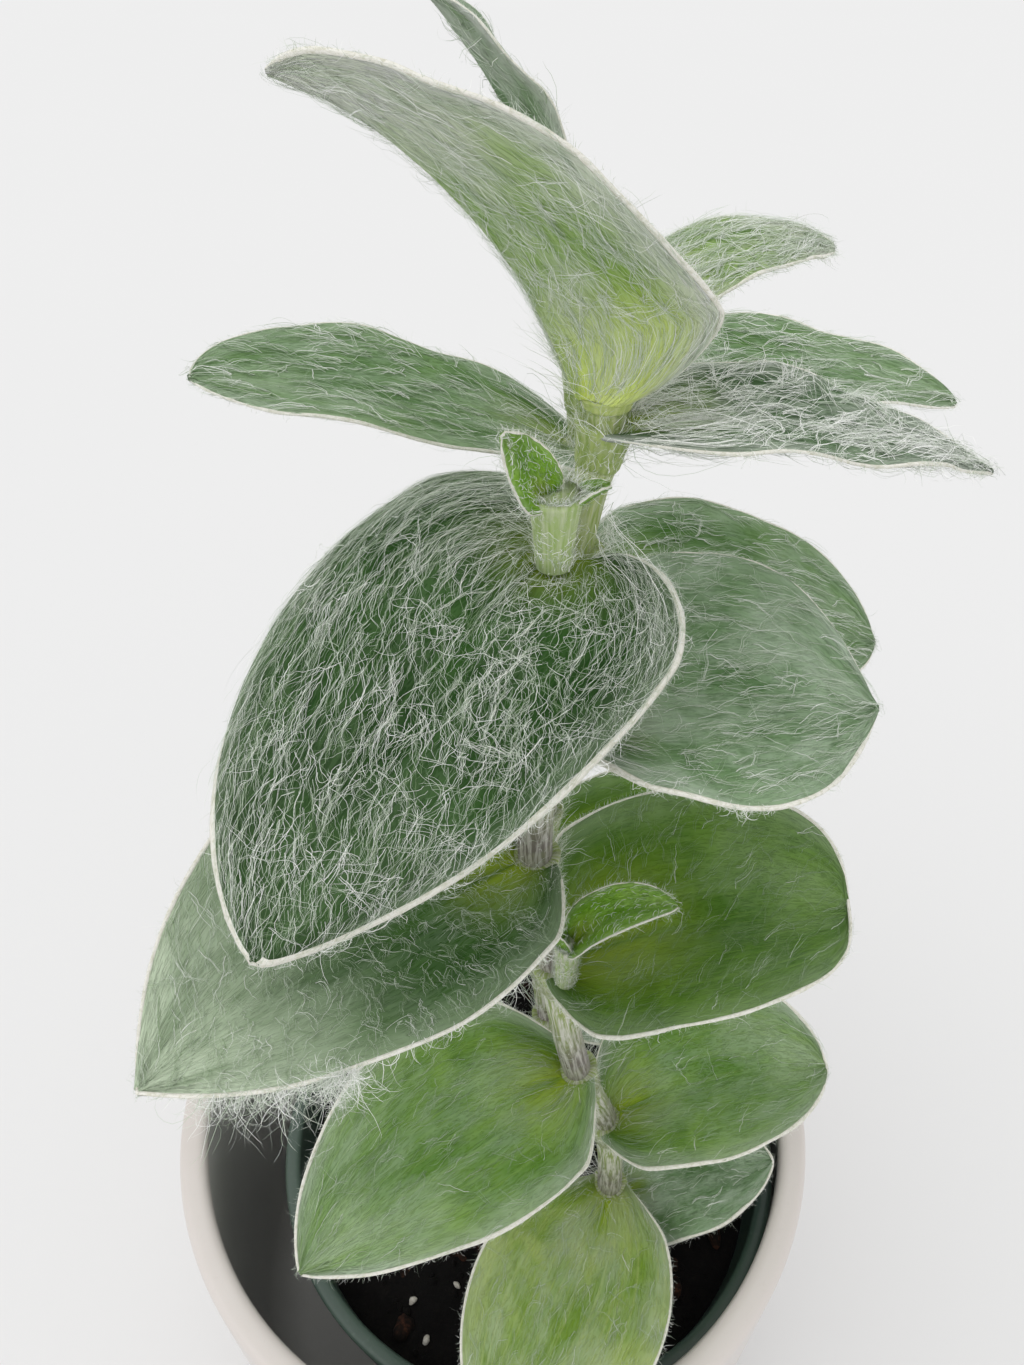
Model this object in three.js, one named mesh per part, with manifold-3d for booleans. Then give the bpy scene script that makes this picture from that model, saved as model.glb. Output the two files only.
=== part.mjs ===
// A potted white velvet tradescantia: two leafy shoots in a nursery pot that stands in an outer pot.
// Millimetres, +Z up. The origin is the centre of the outer pot's flat underside. The front is -Y.

import * as THREE from 'three';
import { mergeVertices } from 'three/addons/utils/BufferGeometryUtils.js';
import Module from 'manifold-3d';

const wasm = await Module();
wasm.setup();

// Outer pot
const OUTER_HEIGHT = 105;
const OUTER_RIM_RADIUS = 63.5;
const OUTER_BODY_RADIUS = 62.5;
const OUTER_FOOT_RADIUS = 54;
const OUTER_WALL = 3.5;
const OUTER_FLOOR = 6;
const OUTER_EDGE_ROUND = 1.6;
const OUTER_LIP_WIDTH = 5.3;
const OUTER_LIP_HEIGHT = 4.5;
const OUTER_LIP_SLOPE = 1.8;
const OUTER_BELLY_HEIGHT = 20;
const POT_SIDES = 40;

// Nursery pot, a little right of and in front of the outer pot's centre
const REST_GAP = 0.3;
const NURSERY_X = 7.2;
const NURSERY_Y = -5.6;
const NURSERY_TOP = 98.5;
const NURSERY_RIM_RADIUS = 50;
const NURSERY_MOUTH_RADIUS = 46.8;
const NURSERY_FOOT_RADIUS = 36;
const NURSERY_WALL = 1.4;
const NURSERY_LIP_DROP = 9;
const NURSERY_EDGE = 1;
const NURSERY_INNER_EDGE = 0.6;
const NURSERY_FOOT = OUTER_FLOOR + REST_GAP;
const DRAIN_HOLES = 6;
const DRAIN_RADIUS = 4;
const DRAIN_FROM_WALL = 3;

// Soil
const SOIL_LEVEL = 88;
const SOIL_BUMP = 0.7;
const SOIL_SIDES = 30;
const SOIL_RINGS = 6;
const SOIL_CHIPS = 30;
const CHIP_RADIUS = 1.6;
const CHIP_FROM_WALL = 6;
const CHIP_FROM_STEM = 7.5;
const STEM_HOLE_DEPTH = 16;
const STEM_HOLE_GAP = 0.6;

// Stems and sheaths. The stems slim down from the lower of two heights over the soil to the upper.
const STEM_RADIUS = 2.4;
const STEM_TOP_RADIUS = 1.9;
const SLIM_FROM = 136;
const SLIM_TO = 166;
const STEM_SIDES = 8;
const STEM_STEPS = 30;
const SHEATH_GAP = 0.6;
const SHEATH_WALL = 0.75;
const SHEATH_SIDES = 10;
// The stems' centre lines, as points of x, y and height over the soil
const STEM_A = [
  [23.5, -17, -STEM_HOLE_DEPTH], [23.5, -17, 0], [21.5, -15.5, 32], [15, -15, 54], [10, -14, 85],
  [7, -12.7, 109], [8, -12.5, 135], [10.6, -10, 158], [13.2, -8.5, 172], [13.1, -8, 179], [12.8, -8, 184.5],
];
const STEM_B = [
  [13, 10, -STEM_HOLE_DEPTH], [13, 10, 0], [12, 12, 20], [9, 15, 52], [10, 17, 102],
  [13, 18, 134], [13.2, 20.5, 154], [13, 22.5, 168], [12, 23.4, 180],
];

// Leaf blades
const BLADE_MIDDLE = 0.9;
const BLADE_EDGE = 0.65;
const BLADE_TIP_HALF_WIDTH = 0.6;
const MIDRIB_STEPS = 48;

const DEGREE = Math.PI / 180;

// What a leaf has unless its own row says otherwise. Angles are in degrees, sizes in millimetres.
// heading turns from +X towards +Y, and sway turns it further by the tip. rise is the midrib's slope
// at the stem and droop what it loses by the tip. roll lifts the left half, seen from the stem.
// foldLeft and foldRight raise each half from the midrib, opens flattens that towards the tip, and
// curl bends each half further towards its margin. widest, point, blunt and lobe shape the outline.
// clasp is how far each side reaches round the stem, and joinsBy the share of the length by which
// the blade has left it. wave is the height of the margin's waves. sheath is the closed tube below.
const LEAF = {
  rise: 15, droop: 25, dropPower: 1.3, sway: 0, roll: 0,
  foldLeft: 15, foldRight: 15, curl: -10, opens: 0.2,
  widest: 0.33, point: 0.62, blunt: 0.1, lobe: 0.1, clasp: 115, joinsBy: 0.16,
  wave: 0.5, waves: 2.4, phase: 0, sheath: 6, rows: 9, columns: 8,
};

const LEAVES_A = [
  { name: 'leaf_a01', height: 5, heading: 3, rise: 32, droop: 16, length: 31, width: 24, clasp: 95,
    sheath: 2, columns: 6 },
  { name: 'leaf_a02', height: 10.5, heading: 252, rise: 22, droop: 25, length: 50, width: 36, sway: -16,
    curl: 10, blunt: 0, widest: 0.5, lobe: 0.02, sheath: 3 },
  { name: 'leaf_a03', height: 36, heading: 9.5, rise: 33, droop: 29.6, length: 38.4, width: 36,
    sway: -12, roll: 7, foldLeft: 22, foldRight: 27, curl: 10, widest: 0.48, point: 0.65, lobe: 0.07,
    phase: 0.3 },
  { name: 'leaf_a04', height: 54, heading: 212, rise: 21, droop: 43, length: 51.8, width: 36.3,
    sway: 12, foldLeft: 6, foldRight: 25, curl: 10, widest: 0.355, point: 0.85, lobe: 0, phase: 0.6 },
  { name: 'leaf_a05', height: 85, heading: 4, rise: 27, droop: 17, length: 41.2, width: 41, sway: -12,
    roll: 10, foldLeft: 30, foldRight: 24.7, curl: 10, widest: 0.355, point: 0.35, lobe: 0.08,
    phase: 0.1 },
  { name: 'leaf_a06', height: 109, heading: 215, rise: 8, droop: 14, length: 53.9, width: 47, sway: 6,
    foldLeft: 22.6, foldRight: 33, curl: 9, widest: 0.4, point: 0.9, lobe: 0, phase: 0.8 },
  { name: 'leaf_a07', height: 136.5, heading: 8, rise: 5, droop: 18.2, length: 37.8, width: 40,
    sway: -11, roll: 15, foldLeft: 11, foldRight: 22, curl: 0, widest: 0.5, point: 0.93, lobe: 0,
    phase: 0.45 },
  { name: 'leaf_a08', height: 158, heading: 225.7, rise: -1, droop: 34, dropPower: 0.8, length: 51.4,
    width: 40.5, sway: 18, roll: -25, foldLeft: 35, foldRight: 18, curl: -70, opens: 0.8,
    widest: 0.335, point: 0.745, blunt: 0.02, lobe: 0.5, joinsBy: 0.24, sheath: 8, rows: 12 },
  { name: 'leaf_a09', height: 171.6, heading: 8.9, rise: 3.1, droop: 26.7, dropPower: 0.785,
    length: 43, width: 19, roll: 15, foldLeft: 15, foldRight: 40, curl: -26.6, widest: 0.236,
    point: 0.92, lobe: 0.02, joinsBy: 0.2, sheath: 4, phase: 0.2 },
  { name: 'leaf_a10', height: 175.1, heading: 205, rise: 66.5, droop: 58.5, dropPower: 1.7,
    length: 40.8, width: 31.9, sway: -50, roll: 50, foldLeft: 3.9, foldRight: 62.5, curl: -2.4,
    opens: 0.35, widest: 0.04, point: 0.8, lobe: 0, sheath: 1.2 },
  { name: 'leaf_a11', height: 183.3, heading: 31.3, rise: 33.3, droop: 57.3, dropPower: 0.845,
    length: 25.8, width: 10.6, roll: 20, foldLeft: -20, foldRight: 2, curl: 0, opens: 0.5,
    widest: 0.1, point: 0.4, lobe: 0.02, wave: 0.2, clasp: 100, sheath: 1.4, rows: 7, columns: 6 },
];

const LEAVES_B = [
  { name: 'leaf_b01', height: 8, heading: 200, rise: 18, droop: 18, length: 45, width: 30, sheath: 5,
    columns: 6 },
  { name: 'leaf_b02', height: 25, heading: 28, rise: 15, droop: 25, length: 42, width: 31, columns: 6,
    phase: 0.3 },
  { name: 'leaf_b03', height: 45, heading: 152, rise: 12, droop: 30, length: 46, width: 34, columns: 6,
    phase: 0.5 },
  { name: 'leaf_b04', height: 64, heading: 24, rise: 12, droop: 22, length: 44, width: 34, columns: 6,
    phase: 0.1 },
  { name: 'leaf_b05', height: 85, heading: 146, rise: 15, droop: 30, length: 46, width: 35, columns: 6,
    phase: 0.7 },
  { name: 'leaf_b06', height: 104, heading: 20, rise: 12, droop: 28, length: 40, width: 32, columns: 6,
    phase: 0.2 },
  { name: 'leaf_b07', height: 118, heading: 140, rise: 18, droop: 35, length: 38, width: 30, columns: 6,
    phase: 0.9 },
  { name: 'leaf_b08', height: 130, heading: 0, rise: 5, droop: 35, length: 44, width: 36, roll: 15,
    foldLeft: 12, foldRight: 12, phase: 0.4 },
  { name: 'leaf_b09', height: 154, heading: 200, rise: 30, droop: 22, length: 48, width: 27,
    foldLeft: 5, foldRight: 14, curl: 0, widest: 0.5, point: 0.6, phase: 0.6 },
  { name: 'leaf_b10', height: 164.5, heading: 355, rise: -1, droop: 8, length: 44, width: 23, curl: 0,
    widest: 0.45, point: 0.5, phase: 0.15 },
  { name: 'leaf_b11', height: 180, heading: 190, rise: 72, droop: 28, length: 29, width: 16,
    foldLeft: 30, foldRight: 30, curl: 0, sheath: 5, rows: 8, columns: 6 },
];

// Sprouts: small side shoots in two leaves' axils. Each is a short stalk with two small leaves.
// foot is a place of x, y and height over the soil. radius is the stalk's at its foot, and mouth the
// one where the leaves leave it.
const SPROUT_STALK_TOP = 1.5;
const SPROUT_LEAF_STEP = 1.6;
const SPROUT_LEAF = { ...LEAF, wave: 0, clasp: 95, sheath: 0, rows: 5, columns: 4, curl: 0, opens: 0 };
const SPROUTS = [
  { name: 'sprout_a08', foot: [8.1, -15.2, 159.2], stalk: 8.7, radius: 2, mouth: 2.6,
    leaves: [
      { heading: 200, rise: 65, droop: 6, length: 9, width: 6, roll: -70, foldLeft: 25, foldRight: 25 },
      { heading: 0, rise: 45, droop: 20, length: 5, width: 4, foldLeft: 30, foldRight: 30 },
    ] },
  { name: 'sprout_a05', foot: [11.6, -19.8, 88.4], stalk: 9.7, radius: 1.5, mouth: 1.7,
    leaves: [
      { heading: 5, rise: 62, droop: 78, length: 17, width: 9, foldLeft: 25, foldRight: 25 },
      { heading: 190, rise: 80, droop: 10, length: 6, width: 5, foldLeft: 45, foldRight: 45 },
    ] },
];

// The youngest leaves at the growing tip of each stem
const TIP_LEAVES = [
  { heading: 215, rise: 86, droop: 14, length: 7, width: 5, foldLeft: 45, foldRight: 45 },
  { heading: 35, rise: 82, droop: 10, length: 5, width: 4, foldLeft: 40, foldRight: 40 },
];

// Colours
const OFF_WHITE = 0xe6e1da;
const TEAL_GREEN = 0x3f5a50;
const SOIL_BROWN = 0x2c2420;
const STEM_GREEN = 0x8f9a78;
const LEAF_GREEN = 0x6f8a64;
const YOUNG_GREEN = 0x8fae6a;
// Leaves that grow above this height over the soil are still young and bright.
const YOUNG_HEIGHT = 175;

// Numbers from 0 to 1, the same ones each time for a given seed.
function seededRandom(seed) {
  let state = seed;
  return () => {
    state = (state * 1664525 + 1013904223) % 4294967296;
    return state / 4294967296;
  };
}

function smooth(x) {
  const held = THREE.MathUtils.clamp(x, 0, 1);
  return held * held * (3 - 2 * held);
}

// A closed geometry as a solid that can be joined and cut.
function toSolid(geometry) {
  const bare = geometry.clone();
  bare.deleteAttribute('normal');
  bare.deleteAttribute('uv');
  const merged = mergeVertices(bare, 1e-4);
  return new wasm.Manifold(new wasm.Mesh({
    numProp: 3,
    vertProperties: new Float32Array(merged.attributes.position.array),
    triVerts: new Uint32Array(merged.index.array),
  }));
}

function toGeometry(solid) {
  const mesh = solid.getMesh();
  const geometry = new THREE.BufferGeometry();
  geometry.setAttribute('position', new THREE.BufferAttribute(new Float32Array(mesh.vertProperties), 3));
  geometry.setIndex(new THREE.BufferAttribute(new Uint32Array(mesh.triVerts), 1));
  geometry.computeVertexNormals();
  return geometry;
}

// A turned shape about Z, from [radius, height] points that start and end on the axis or close.
function turned(profile, segments) {
  const points = profile.map(([radius, height]) => new THREE.Vector2(radius, height));
  const geometry = new THREE.LatheGeometry(points, segments);
  geometry.rotateX(Math.PI / 2);
  return geometry;
}

function named(name, geometry, color, roughness = 0.9) {
  const material = new THREE.MeshStandardMaterial({ color, roughness, metalness: 0 });
  const mesh = new THREE.Mesh(geometry, material);
  mesh.name = name;
  return mesh;
}

// Points of a rim with both its edges rounded, from the inside edge over the top to the outside edge.
function roundedRim(innerRadius, outerRadius, top, round) {
  const points = [];
  const steps = 2;
  for (let k = 0; k <= steps; k += 1) {
    const angle = Math.PI - (k / steps) * (Math.PI / 2);
    points.push([innerRadius + round + round * Math.cos(angle), top - round + round * Math.sin(angle)]);
  }
  for (let k = 0; k <= steps; k += 1) {
    const angle = Math.PI / 2 - (k / steps) * (Math.PI / 2);
    points.push([outerRadius - round + round * Math.cos(angle), top - round + round * Math.sin(angle)]);
  }
  return points;
}

function outerPot() {
  const belly = (radius, foot, floor) => [0, 1, 2, 3, 4].map((k) => {
    const angle = (k / 4) * (Math.PI / 2);
    return [
      THREE.MathUtils.lerp(foot, radius, Math.sin(angle)),
      THREE.MathUtils.lerp(OUTER_BELLY_HEIGHT, floor, Math.cos(angle)),
    ];
  });
  const innerFoot = OUTER_FOOT_RADIUS - OUTER_WALL;
  const lipInside = OUTER_RIM_RADIUS - OUTER_LIP_WIDTH;
  const profile = [
    [0, OUTER_FLOOR],
    ...belly(OUTER_BODY_RADIUS - OUTER_WALL, innerFoot, OUTER_FLOOR),
    [OUTER_RIM_RADIUS - OUTER_WALL, OUTER_HEIGHT - OUTER_LIP_HEIGHT],
    [lipInside, OUTER_HEIGHT - OUTER_LIP_HEIGHT + OUTER_LIP_SLOPE],
    ...roundedRim(lipInside, OUTER_RIM_RADIUS, OUTER_HEIGHT, OUTER_EDGE_ROUND),
    ...belly(OUTER_BODY_RADIUS, OUTER_FOOT_RADIUS, 0).reverse(),
    [0, 0],
  ];
  return named('outer_pot', turned(profile.reverse(), POT_SIDES), OFF_WHITE, 0.35);
}

function nurseryWallRadius(height) {
  const share = (height - NURSERY_FOOT) / (NURSERY_TOP - NURSERY_FOOT);
  const foot = NURSERY_FOOT_RADIUS - NURSERY_WALL;
  return THREE.MathUtils.lerp(foot, NURSERY_MOUTH_RADIUS, share);
}

function nurseryPot() {
  const floor = NURSERY_FOOT + NURSERY_WALL;
  const lipBottom = NURSERY_TOP - NURSERY_LIP_DROP;
  const underLip = nurseryWallRadius(lipBottom) + NURSERY_WALL;
  const profile = [
    [0, NURSERY_FOOT],
    [NURSERY_FOOT_RADIUS, NURSERY_FOOT],
    [underLip, lipBottom],
    [NURSERY_RIM_RADIUS - NURSERY_EDGE, lipBottom],
    [NURSERY_RIM_RADIUS, NURSERY_TOP - NURSERY_EDGE],
    [NURSERY_RIM_RADIUS - NURSERY_EDGE, NURSERY_TOP],
    [NURSERY_MOUTH_RADIUS + NURSERY_INNER_EDGE, NURSERY_TOP],
    [NURSERY_MOUTH_RADIUS, NURSERY_TOP - NURSERY_INNER_EDGE],
    [nurseryWallRadius(floor), floor],
    [0, floor],
  ];
  let pot = toSolid(turned(profile, POT_SIDES));
  for (let k = 0; k < DRAIN_HOLES; k += 1) {
    const angle = (k / DRAIN_HOLES) * 2 * Math.PI;
    const reach = NURSERY_FOOT_RADIUS - DRAIN_RADIUS - DRAIN_FROM_WALL;
    const hole = new THREE.CylinderGeometry(DRAIN_RADIUS, DRAIN_RADIUS, 4 * NURSERY_WALL, 10);
    hole.rotateX(Math.PI / 2);
    hole.translate(reach * Math.cos(angle), reach * Math.sin(angle), NURSERY_FOOT + NURSERY_WALL / 2);
    pot = pot.subtract(toSolid(hole));
  }
  const mesh = named('nursery_pot', toGeometry(pot), TEAL_GREEN, 0.5);
  mesh.position.set(NURSERY_X, NURSERY_Y, 0);
  return mesh;
}

// The soil's height over its level at a place, a few slow ripples that fade at the pot's wall.
function soilRelief(x, y, radius) {
  const ripple = Math.sin(0.31 * x + 0.8) * Math.cos(0.27 * y) + 0.6 * Math.sin(0.55 * y - 0.4 * x);
  return SOIL_BUMP * ripple * (1 - smooth(radius / NURSERY_MOUTH_RADIUS - 0.05));
}

function soil(stemFeet) {
  const bottom = NURSERY_FOOT + NURSERY_WALL + REST_GAP;
  const wallTop = nurseryWallRadius(SOIL_LEVEL) - 2 * REST_GAP;
  const profile = [[0, bottom], [nurseryWallRadius(bottom) - 2 * REST_GAP, bottom]];
  for (let k = 0; k <= SOIL_RINGS; k += 1) {
    profile.push([wallTop * (1 - k / SOIL_RINGS), SOIL_LEVEL]);
  }
  const bed = turned(profile, SOIL_SIDES);
  const places = bed.attributes.position;
  for (let k = 0; k < places.count; k += 1) {
    const x = places.getX(k);
    const y = places.getY(k);
    if (places.getZ(k) > SOIL_LEVEL - 1) {
      places.setZ(k, SOIL_LEVEL + soilRelief(x, y, Math.hypot(x, y)));
    }
  }
  let solid = toSolid(bed);
  const random = seededRandom(31);
  for (let k = 0; k < SOIL_CHIPS; k += 1) {
    const angle = 2 * Math.PI * random();
    const reach = (wallTop - CHIP_FROM_WALL) * Math.sqrt(random());
    const x = reach * Math.cos(angle);
    const y = reach * Math.sin(angle);
    const chip = new THREE.IcosahedronGeometry(CHIP_RADIUS * (1 + random()), 0);
    chip.scale(1, 0.5 + 0.4 * random(), 0.5);
    chip.rotateZ(Math.PI * random());
    chip.rotateX(0.6 * (random() - 0.5));
    chip.translate(x, y, SOIL_LEVEL + soilRelief(x, y, reach) + 0.2);
    const fromStem = (foot) => Math.hypot(foot.x - NURSERY_X - x, foot.y - NURSERY_Y - y);
    const nearStem = stemFeet.some((foot) => fromStem(foot) < CHIP_FROM_STEM);
    if (!nearStem) {
      solid = solid.add(toSolid(chip));
    }
  }
  for (const foot of stemFeet) {
    const radius = STEM_RADIUS + STEM_HOLE_GAP;
    const floor = SOIL_LEVEL - STEM_HOLE_DEPTH - REST_GAP;
    const top = SOIL_LEVEL + 6;
    const hole = new THREE.CylinderGeometry(radius, radius, top - floor, 12);
    hole.rotateX(Math.PI / 2);
    hole.translate(foot.x - NURSERY_X, foot.y - NURSERY_Y, (top + floor) / 2);
    solid = solid.subtract(toSolid(hole));
  }
  const mesh = named('soil', toGeometry(solid), SOIL_BROWN, 1);
  mesh.position.set(NURSERY_X, NURSERY_Y, 0);
  return mesh;
}

// A stem's centre line, which is straight where it stands in the soil.
function stemCurve(points) {
  const places = points.map(([x, y, height]) => new THREE.Vector3(x, y, SOIL_LEVEL + height));
  return new THREE.CatmullRomCurve3(places, false, 'centripetal');
}

// The place and direction of a stem at a height over the soil.
function onStem(curve, height) {
  const goal = SOIL_LEVEL + height;
  let low = 0;
  let high = 1;
  for (let k = 0; k < 30; k += 1) {
    const middle = (low + high) / 2;
    if (curve.getPoint(middle).z < goal) {
      low = middle;
    } else {
      high = middle;
    }
  }
  return { place: curve.getPoint(low), along: curve.getTangent(low) };
}

function stemRadius(height) {
  const share = THREE.MathUtils.clamp((height - SLIM_FROM) / (SLIM_TO - SLIM_FROM), 0, 1);
  return THREE.MathUtils.lerp(STEM_RADIUS, STEM_TOP_RADIUS, share);
}

// The inside radius of a leaf's sheath, set by the stem at the sheath's foot, where it is thickest.
function sheathInside(leaf) {
  return stemRadius(leaf.height - leaf.sheath) + SHEATH_GAP;
}

// Draws a stem's extruded surface in towards its centre line, where it slims down.
function slim(geometry, curve) {
  const middles = curve.getSpacedPoints(STEM_STEPS);
  const places = geometry.attributes.position;
  const point = new THREE.Vector3();
  for (let k = 0; k < places.count; k += 1) {
    point.fromBufferAttribute(places, k);
    const middle = middles.reduce((a, b) => (b.distanceTo(point) < a.distanceTo(point) ? b : a));
    const share = stemRadius(middle.z - SOIL_LEVEL) / STEM_RADIUS;
    point.sub(middle).multiplyScalar(share).add(middle);
    places.setXYZ(k, point.x, point.y, point.z);
  }
}

// A stem, with the youngest leaves fused to its growing tip.
function stem(name, curve) {
  const section = new THREE.Shape();
  for (let k = 0; k < STEM_SIDES; k += 1) {
    const angle = (k / STEM_SIDES) * 2 * Math.PI;
    const x = STEM_RADIUS * Math.cos(angle);
    const y = STEM_RADIUS * Math.sin(angle);
    if (k === 0) {
      section.moveTo(x, y);
    } else {
      section.lineTo(x, y);
    }
  }
  section.closePath();
  const geometry = new THREE.ExtrudeGeometry(section, { steps: STEM_STEPS, extrudePath: curve });
  slim(geometry, curve);
  let solid = toSolid(geometry);
  TIP_LEAVES.forEach((own) => {
    const leaf = { ...SPROUT_LEAF, ...own };
    const place = curve.getPoint(1);
    place.z -= BLADE_MIDDLE / 2;
    const root = ringRoot(place, curve.getTangent(1), leaf.heading, STEM_TOP_RADIUS * 0.6);
    solid = solid.add(toSolid(bladeGeometry(leaf, root)));
  });
  return named(name, toGeometry(solid), STEM_GREEN, 0.8);
}

// The share of the full half width at a share of the length: ovate, blunt at the stem.
function ovate(share, leaf) {
  if (share < leaf.widest) {
    const rising = (share + leaf.blunt) / (leaf.widest + leaf.blunt);
    return Math.sqrt(Math.max(0, 1 - (1 - rising) ** 2));
  }
  const falling = (share - leaf.widest) / (1 - leaf.widest);
  return Math.max(0, 1 - falling ** 2) ** leaf.point;
}

// The midrib's places and the leaf's three directions at equal steps along it.
function midrib(leaf, start) {
  const stations = [];
  const place = start.clone();
  for (let k = 0; k <= MIDRIB_STEPS; k += 1) {
    const share = k / MIDRIB_STEPS;
    const slope = (leaf.rise - leaf.droop * share ** leaf.dropPower) * DEGREE;
    const heading = (leaf.heading + leaf.sway * share) * DEGREE;
    const forward = new THREE.Vector3(
      Math.cos(slope) * Math.cos(heading),
      Math.cos(slope) * Math.sin(heading),
      Math.sin(slope),
    );
    const left = new THREE.Vector3(-Math.sin(heading), Math.cos(heading), 0);
    left.applyAxisAngle(forward, leaf.roll * DEGREE);
    const up = new THREE.Vector3().crossVectors(forward, left);
    if (k > 0) {
      const last = stations[k - 1];
      place.addScaledVector(last.forward.clone().add(forward), leaf.length / MIDRIB_STEPS / 2);
    }
    stations.push({ place: place.clone(), forward, left, up });
  }
  return stations;
}

// A point of the blade's middle surface. share runs from stem to tip, across from -1 (right) to 1.
function bladePoint(leaf, root, stations, share, across) {
  const station = stations[Math.round(share * MIDRIB_STEPS)];
  const half = Math.max((leaf.width / 2) * ovate(share, leaf), BLADE_TIP_HALF_WIDTH);
  const opened = 1 - leaf.opens * share;
  const fold = (across >= 0 ? leaf.foldLeft : leaf.foldRight) * DEGREE * opened;
  const curl = leaf.curl * DEGREE + 1e-6;
  const reach = Math.abs(across);
  const outward = (Math.sin(fold + curl * reach) - Math.sin(fold)) / curl;
  const upward = (Math.cos(fold) - Math.cos(fold + curl * reach)) / curl;
  const turns = leaf.waves * share + leaf.phase + (across < 0 ? 0.25 : 0);
  const inside = smooth(4 * share) * smooth(3 - 3 * share);
  const ripple = leaf.wave * reach ** 3 * Math.sin(2 * Math.PI * turns) * inside;
  const back = leaf.lobe * leaf.length * reach * reach * (1 - share) ** 3;
  const blade = station.place.clone()
    .addScaledVector(station.left, half * outward * Math.sign(across))
    .addScaledVector(station.up, half * upward + ripple)
    .addScaledVector(station.forward, -back);
  const turn = across * leaf.clasp * DEGREE;
  const collar = root.place.clone()
    .addScaledVector(root.out, root.radius * Math.cos(turn))
    .addScaledVector(root.side, root.radius * Math.sin(turn));
  return collar.lerp(blade, smooth(share / leaf.joinsBy));
}

// The blade as a closed solid: two faces with their triangles split alike, and a rim between them.
function bladeGeometry(leaf, root) {
  const start = root.place.clone().addScaledVector(root.out, root.radius);
  const stations = midrib(leaf, start);
  const { rows, columns } = leaf;
  const at = (i, j) => bladePoint(leaf, root, stations, i / rows, (2 * j) / columns - 1);
  const positions = [];
  for (const face of [1, -1]) {
    for (let i = 0; i <= rows; i += 1) {
      for (let j = 0; j <= columns; j += 1) {
        const point = at(i, j);
        const lengthwise = at(Math.min(i + 1, rows), j).sub(at(Math.max(i - 1, 0), j));
        const crosswise = at(i, Math.min(j + 1, columns)).sub(at(i, Math.max(j - 1, 0)));
        const normal = lengthwise.cross(crosswise).normalize();
        const edge = Math.abs((2 * j) / columns - 1);
        const thickness = THREE.MathUtils.lerp(BLADE_MIDDLE, BLADE_EDGE, edge);
        positions.push(...point.addScaledVector(normal, (face * thickness) / 2).toArray());
      }
    }
  }
  const row = columns + 1;
  const back = (rows + 1) * row;
  const index = [];
  for (let i = 0; i < rows; i += 1) {
    for (let j = 0; j < columns; j += 1) {
      const a = i * row + j;
      const b = a + row;
      index.push(a, b, b + 1, a, b + 1, a + 1);
      index.push(back + a, back + b + 1, back + b, back + a, back + a + 1, back + b + 1);
    }
  }
  const rim = [];
  for (let j = 0; j < columns; j += 1) {
    rim.push(j);
  }
  for (let i = 0; i < rows; i += 1) {
    rim.push(i * row + columns);
  }
  for (let j = columns; j > 0; j -= 1) {
    rim.push(rows * row + j);
  }
  for (let i = rows; i > 0; i -= 1) {
    rim.push(i * row);
  }
  rim.forEach((a, k) => {
    const b = rim[(k + 1) % rim.length];
    index.push(a, b, back + b, a, back + b, back + a);
  });
  const geometry = new THREE.BufferGeometry();
  geometry.setAttribute('position', new THREE.Float32BufferAttribute(positions, 3));
  geometry.setIndex(index);
  return geometry;
}

// Where a blade grows from: a ring round a stem, with its outward and left directions.
function ringRoot(place, along, heading, radius) {
  const out = new THREE.Vector3(Math.cos(heading * DEGREE), Math.sin(heading * DEGREE), 0);
  out.addScaledVector(along, -out.dot(along)).normalize();
  const side = new THREE.Vector3().crossVectors(along, out);
  return { place, out, side, radius };
}

function sheathGeometry(curve, leaf) {
  const inside = sheathInside(leaf);
  const outside = inside + SHEATH_WALL;
  const half = leaf.sheath / 2 + BLADE_MIDDLE / 2;
  const profile = [[inside, -half], [outside, -half], [outside, half], [inside, half], [inside, -half]];
  const tube = turned(profile, SHEATH_SIDES);
  const middle = onStem(curve, leaf.height - leaf.sheath / 2);
  const up = new THREE.Vector3(0, 0, 1);
  tube.applyQuaternion(new THREE.Quaternion().setFromUnitVectors(up, middle.along));
  tube.translate(middle.place.x, middle.place.y, middle.place.z);
  return tube;
}

// A leaf: its blade fused to the closed sheath that it grows from.
function leafMesh(curve, row, color) {
  const leaf = { ...LEAF, ...row };
  const node = onStem(curve, leaf.height);
  const radius = sheathInside(leaf) + SHEATH_WALL / 2;
  const root = ringRoot(node.place, node.along, leaf.heading, radius);
  const solid = toSolid(bladeGeometry(leaf, root)).add(toSolid(sheathGeometry(curve, leaf)));
  return named(leaf.name, toGeometry(solid), color, 0.9);
}

// A small side shoot: a stalk with two blades fused to its top.
function sprout(row) {
  const [x, y, height] = row.foot;
  const stalkProfile = [
    [0, 0],
    [row.radius, 0],
    [row.mouth, row.stalk],
    [row.radius * 0.4, row.stalk + SPROUT_STALK_TOP],
    [0, row.stalk + SPROUT_STALK_TOP],
  ];
  let solid = toSolid(turned(stalkProfile, 10));
  const along = new THREE.Vector3(0, 0, 1);
  row.leaves.forEach((own, k) => {
    const leaf = { ...SPROUT_LEAF, ...own };
    const place = new THREE.Vector3(0, 0, row.stalk - 0.5 - SPROUT_LEAF_STEP * k);
    const root = ringRoot(place, along, leaf.heading, row.radius * 0.7);
    solid = solid.add(toSolid(bladeGeometry(leaf, root)));
  });
  const mesh = named(row.name, toGeometry(solid), YOUNG_GREEN, 0.9);
  mesh.position.set(x, y, SOIL_LEVEL + height);
  return mesh;
}

function shoot(letter, points, leaves) {
  const curve = stemCurve(points);
  const group = new THREE.Group();
  group.add(stem(`stem_${letter}`, curve));
  leaves.forEach((row) => {
    group.add(leafMesh(curve, row, row.height > YOUNG_HEIGHT ? YOUNG_GREEN : LEAF_GREEN));
  });
  return group;
}

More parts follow.
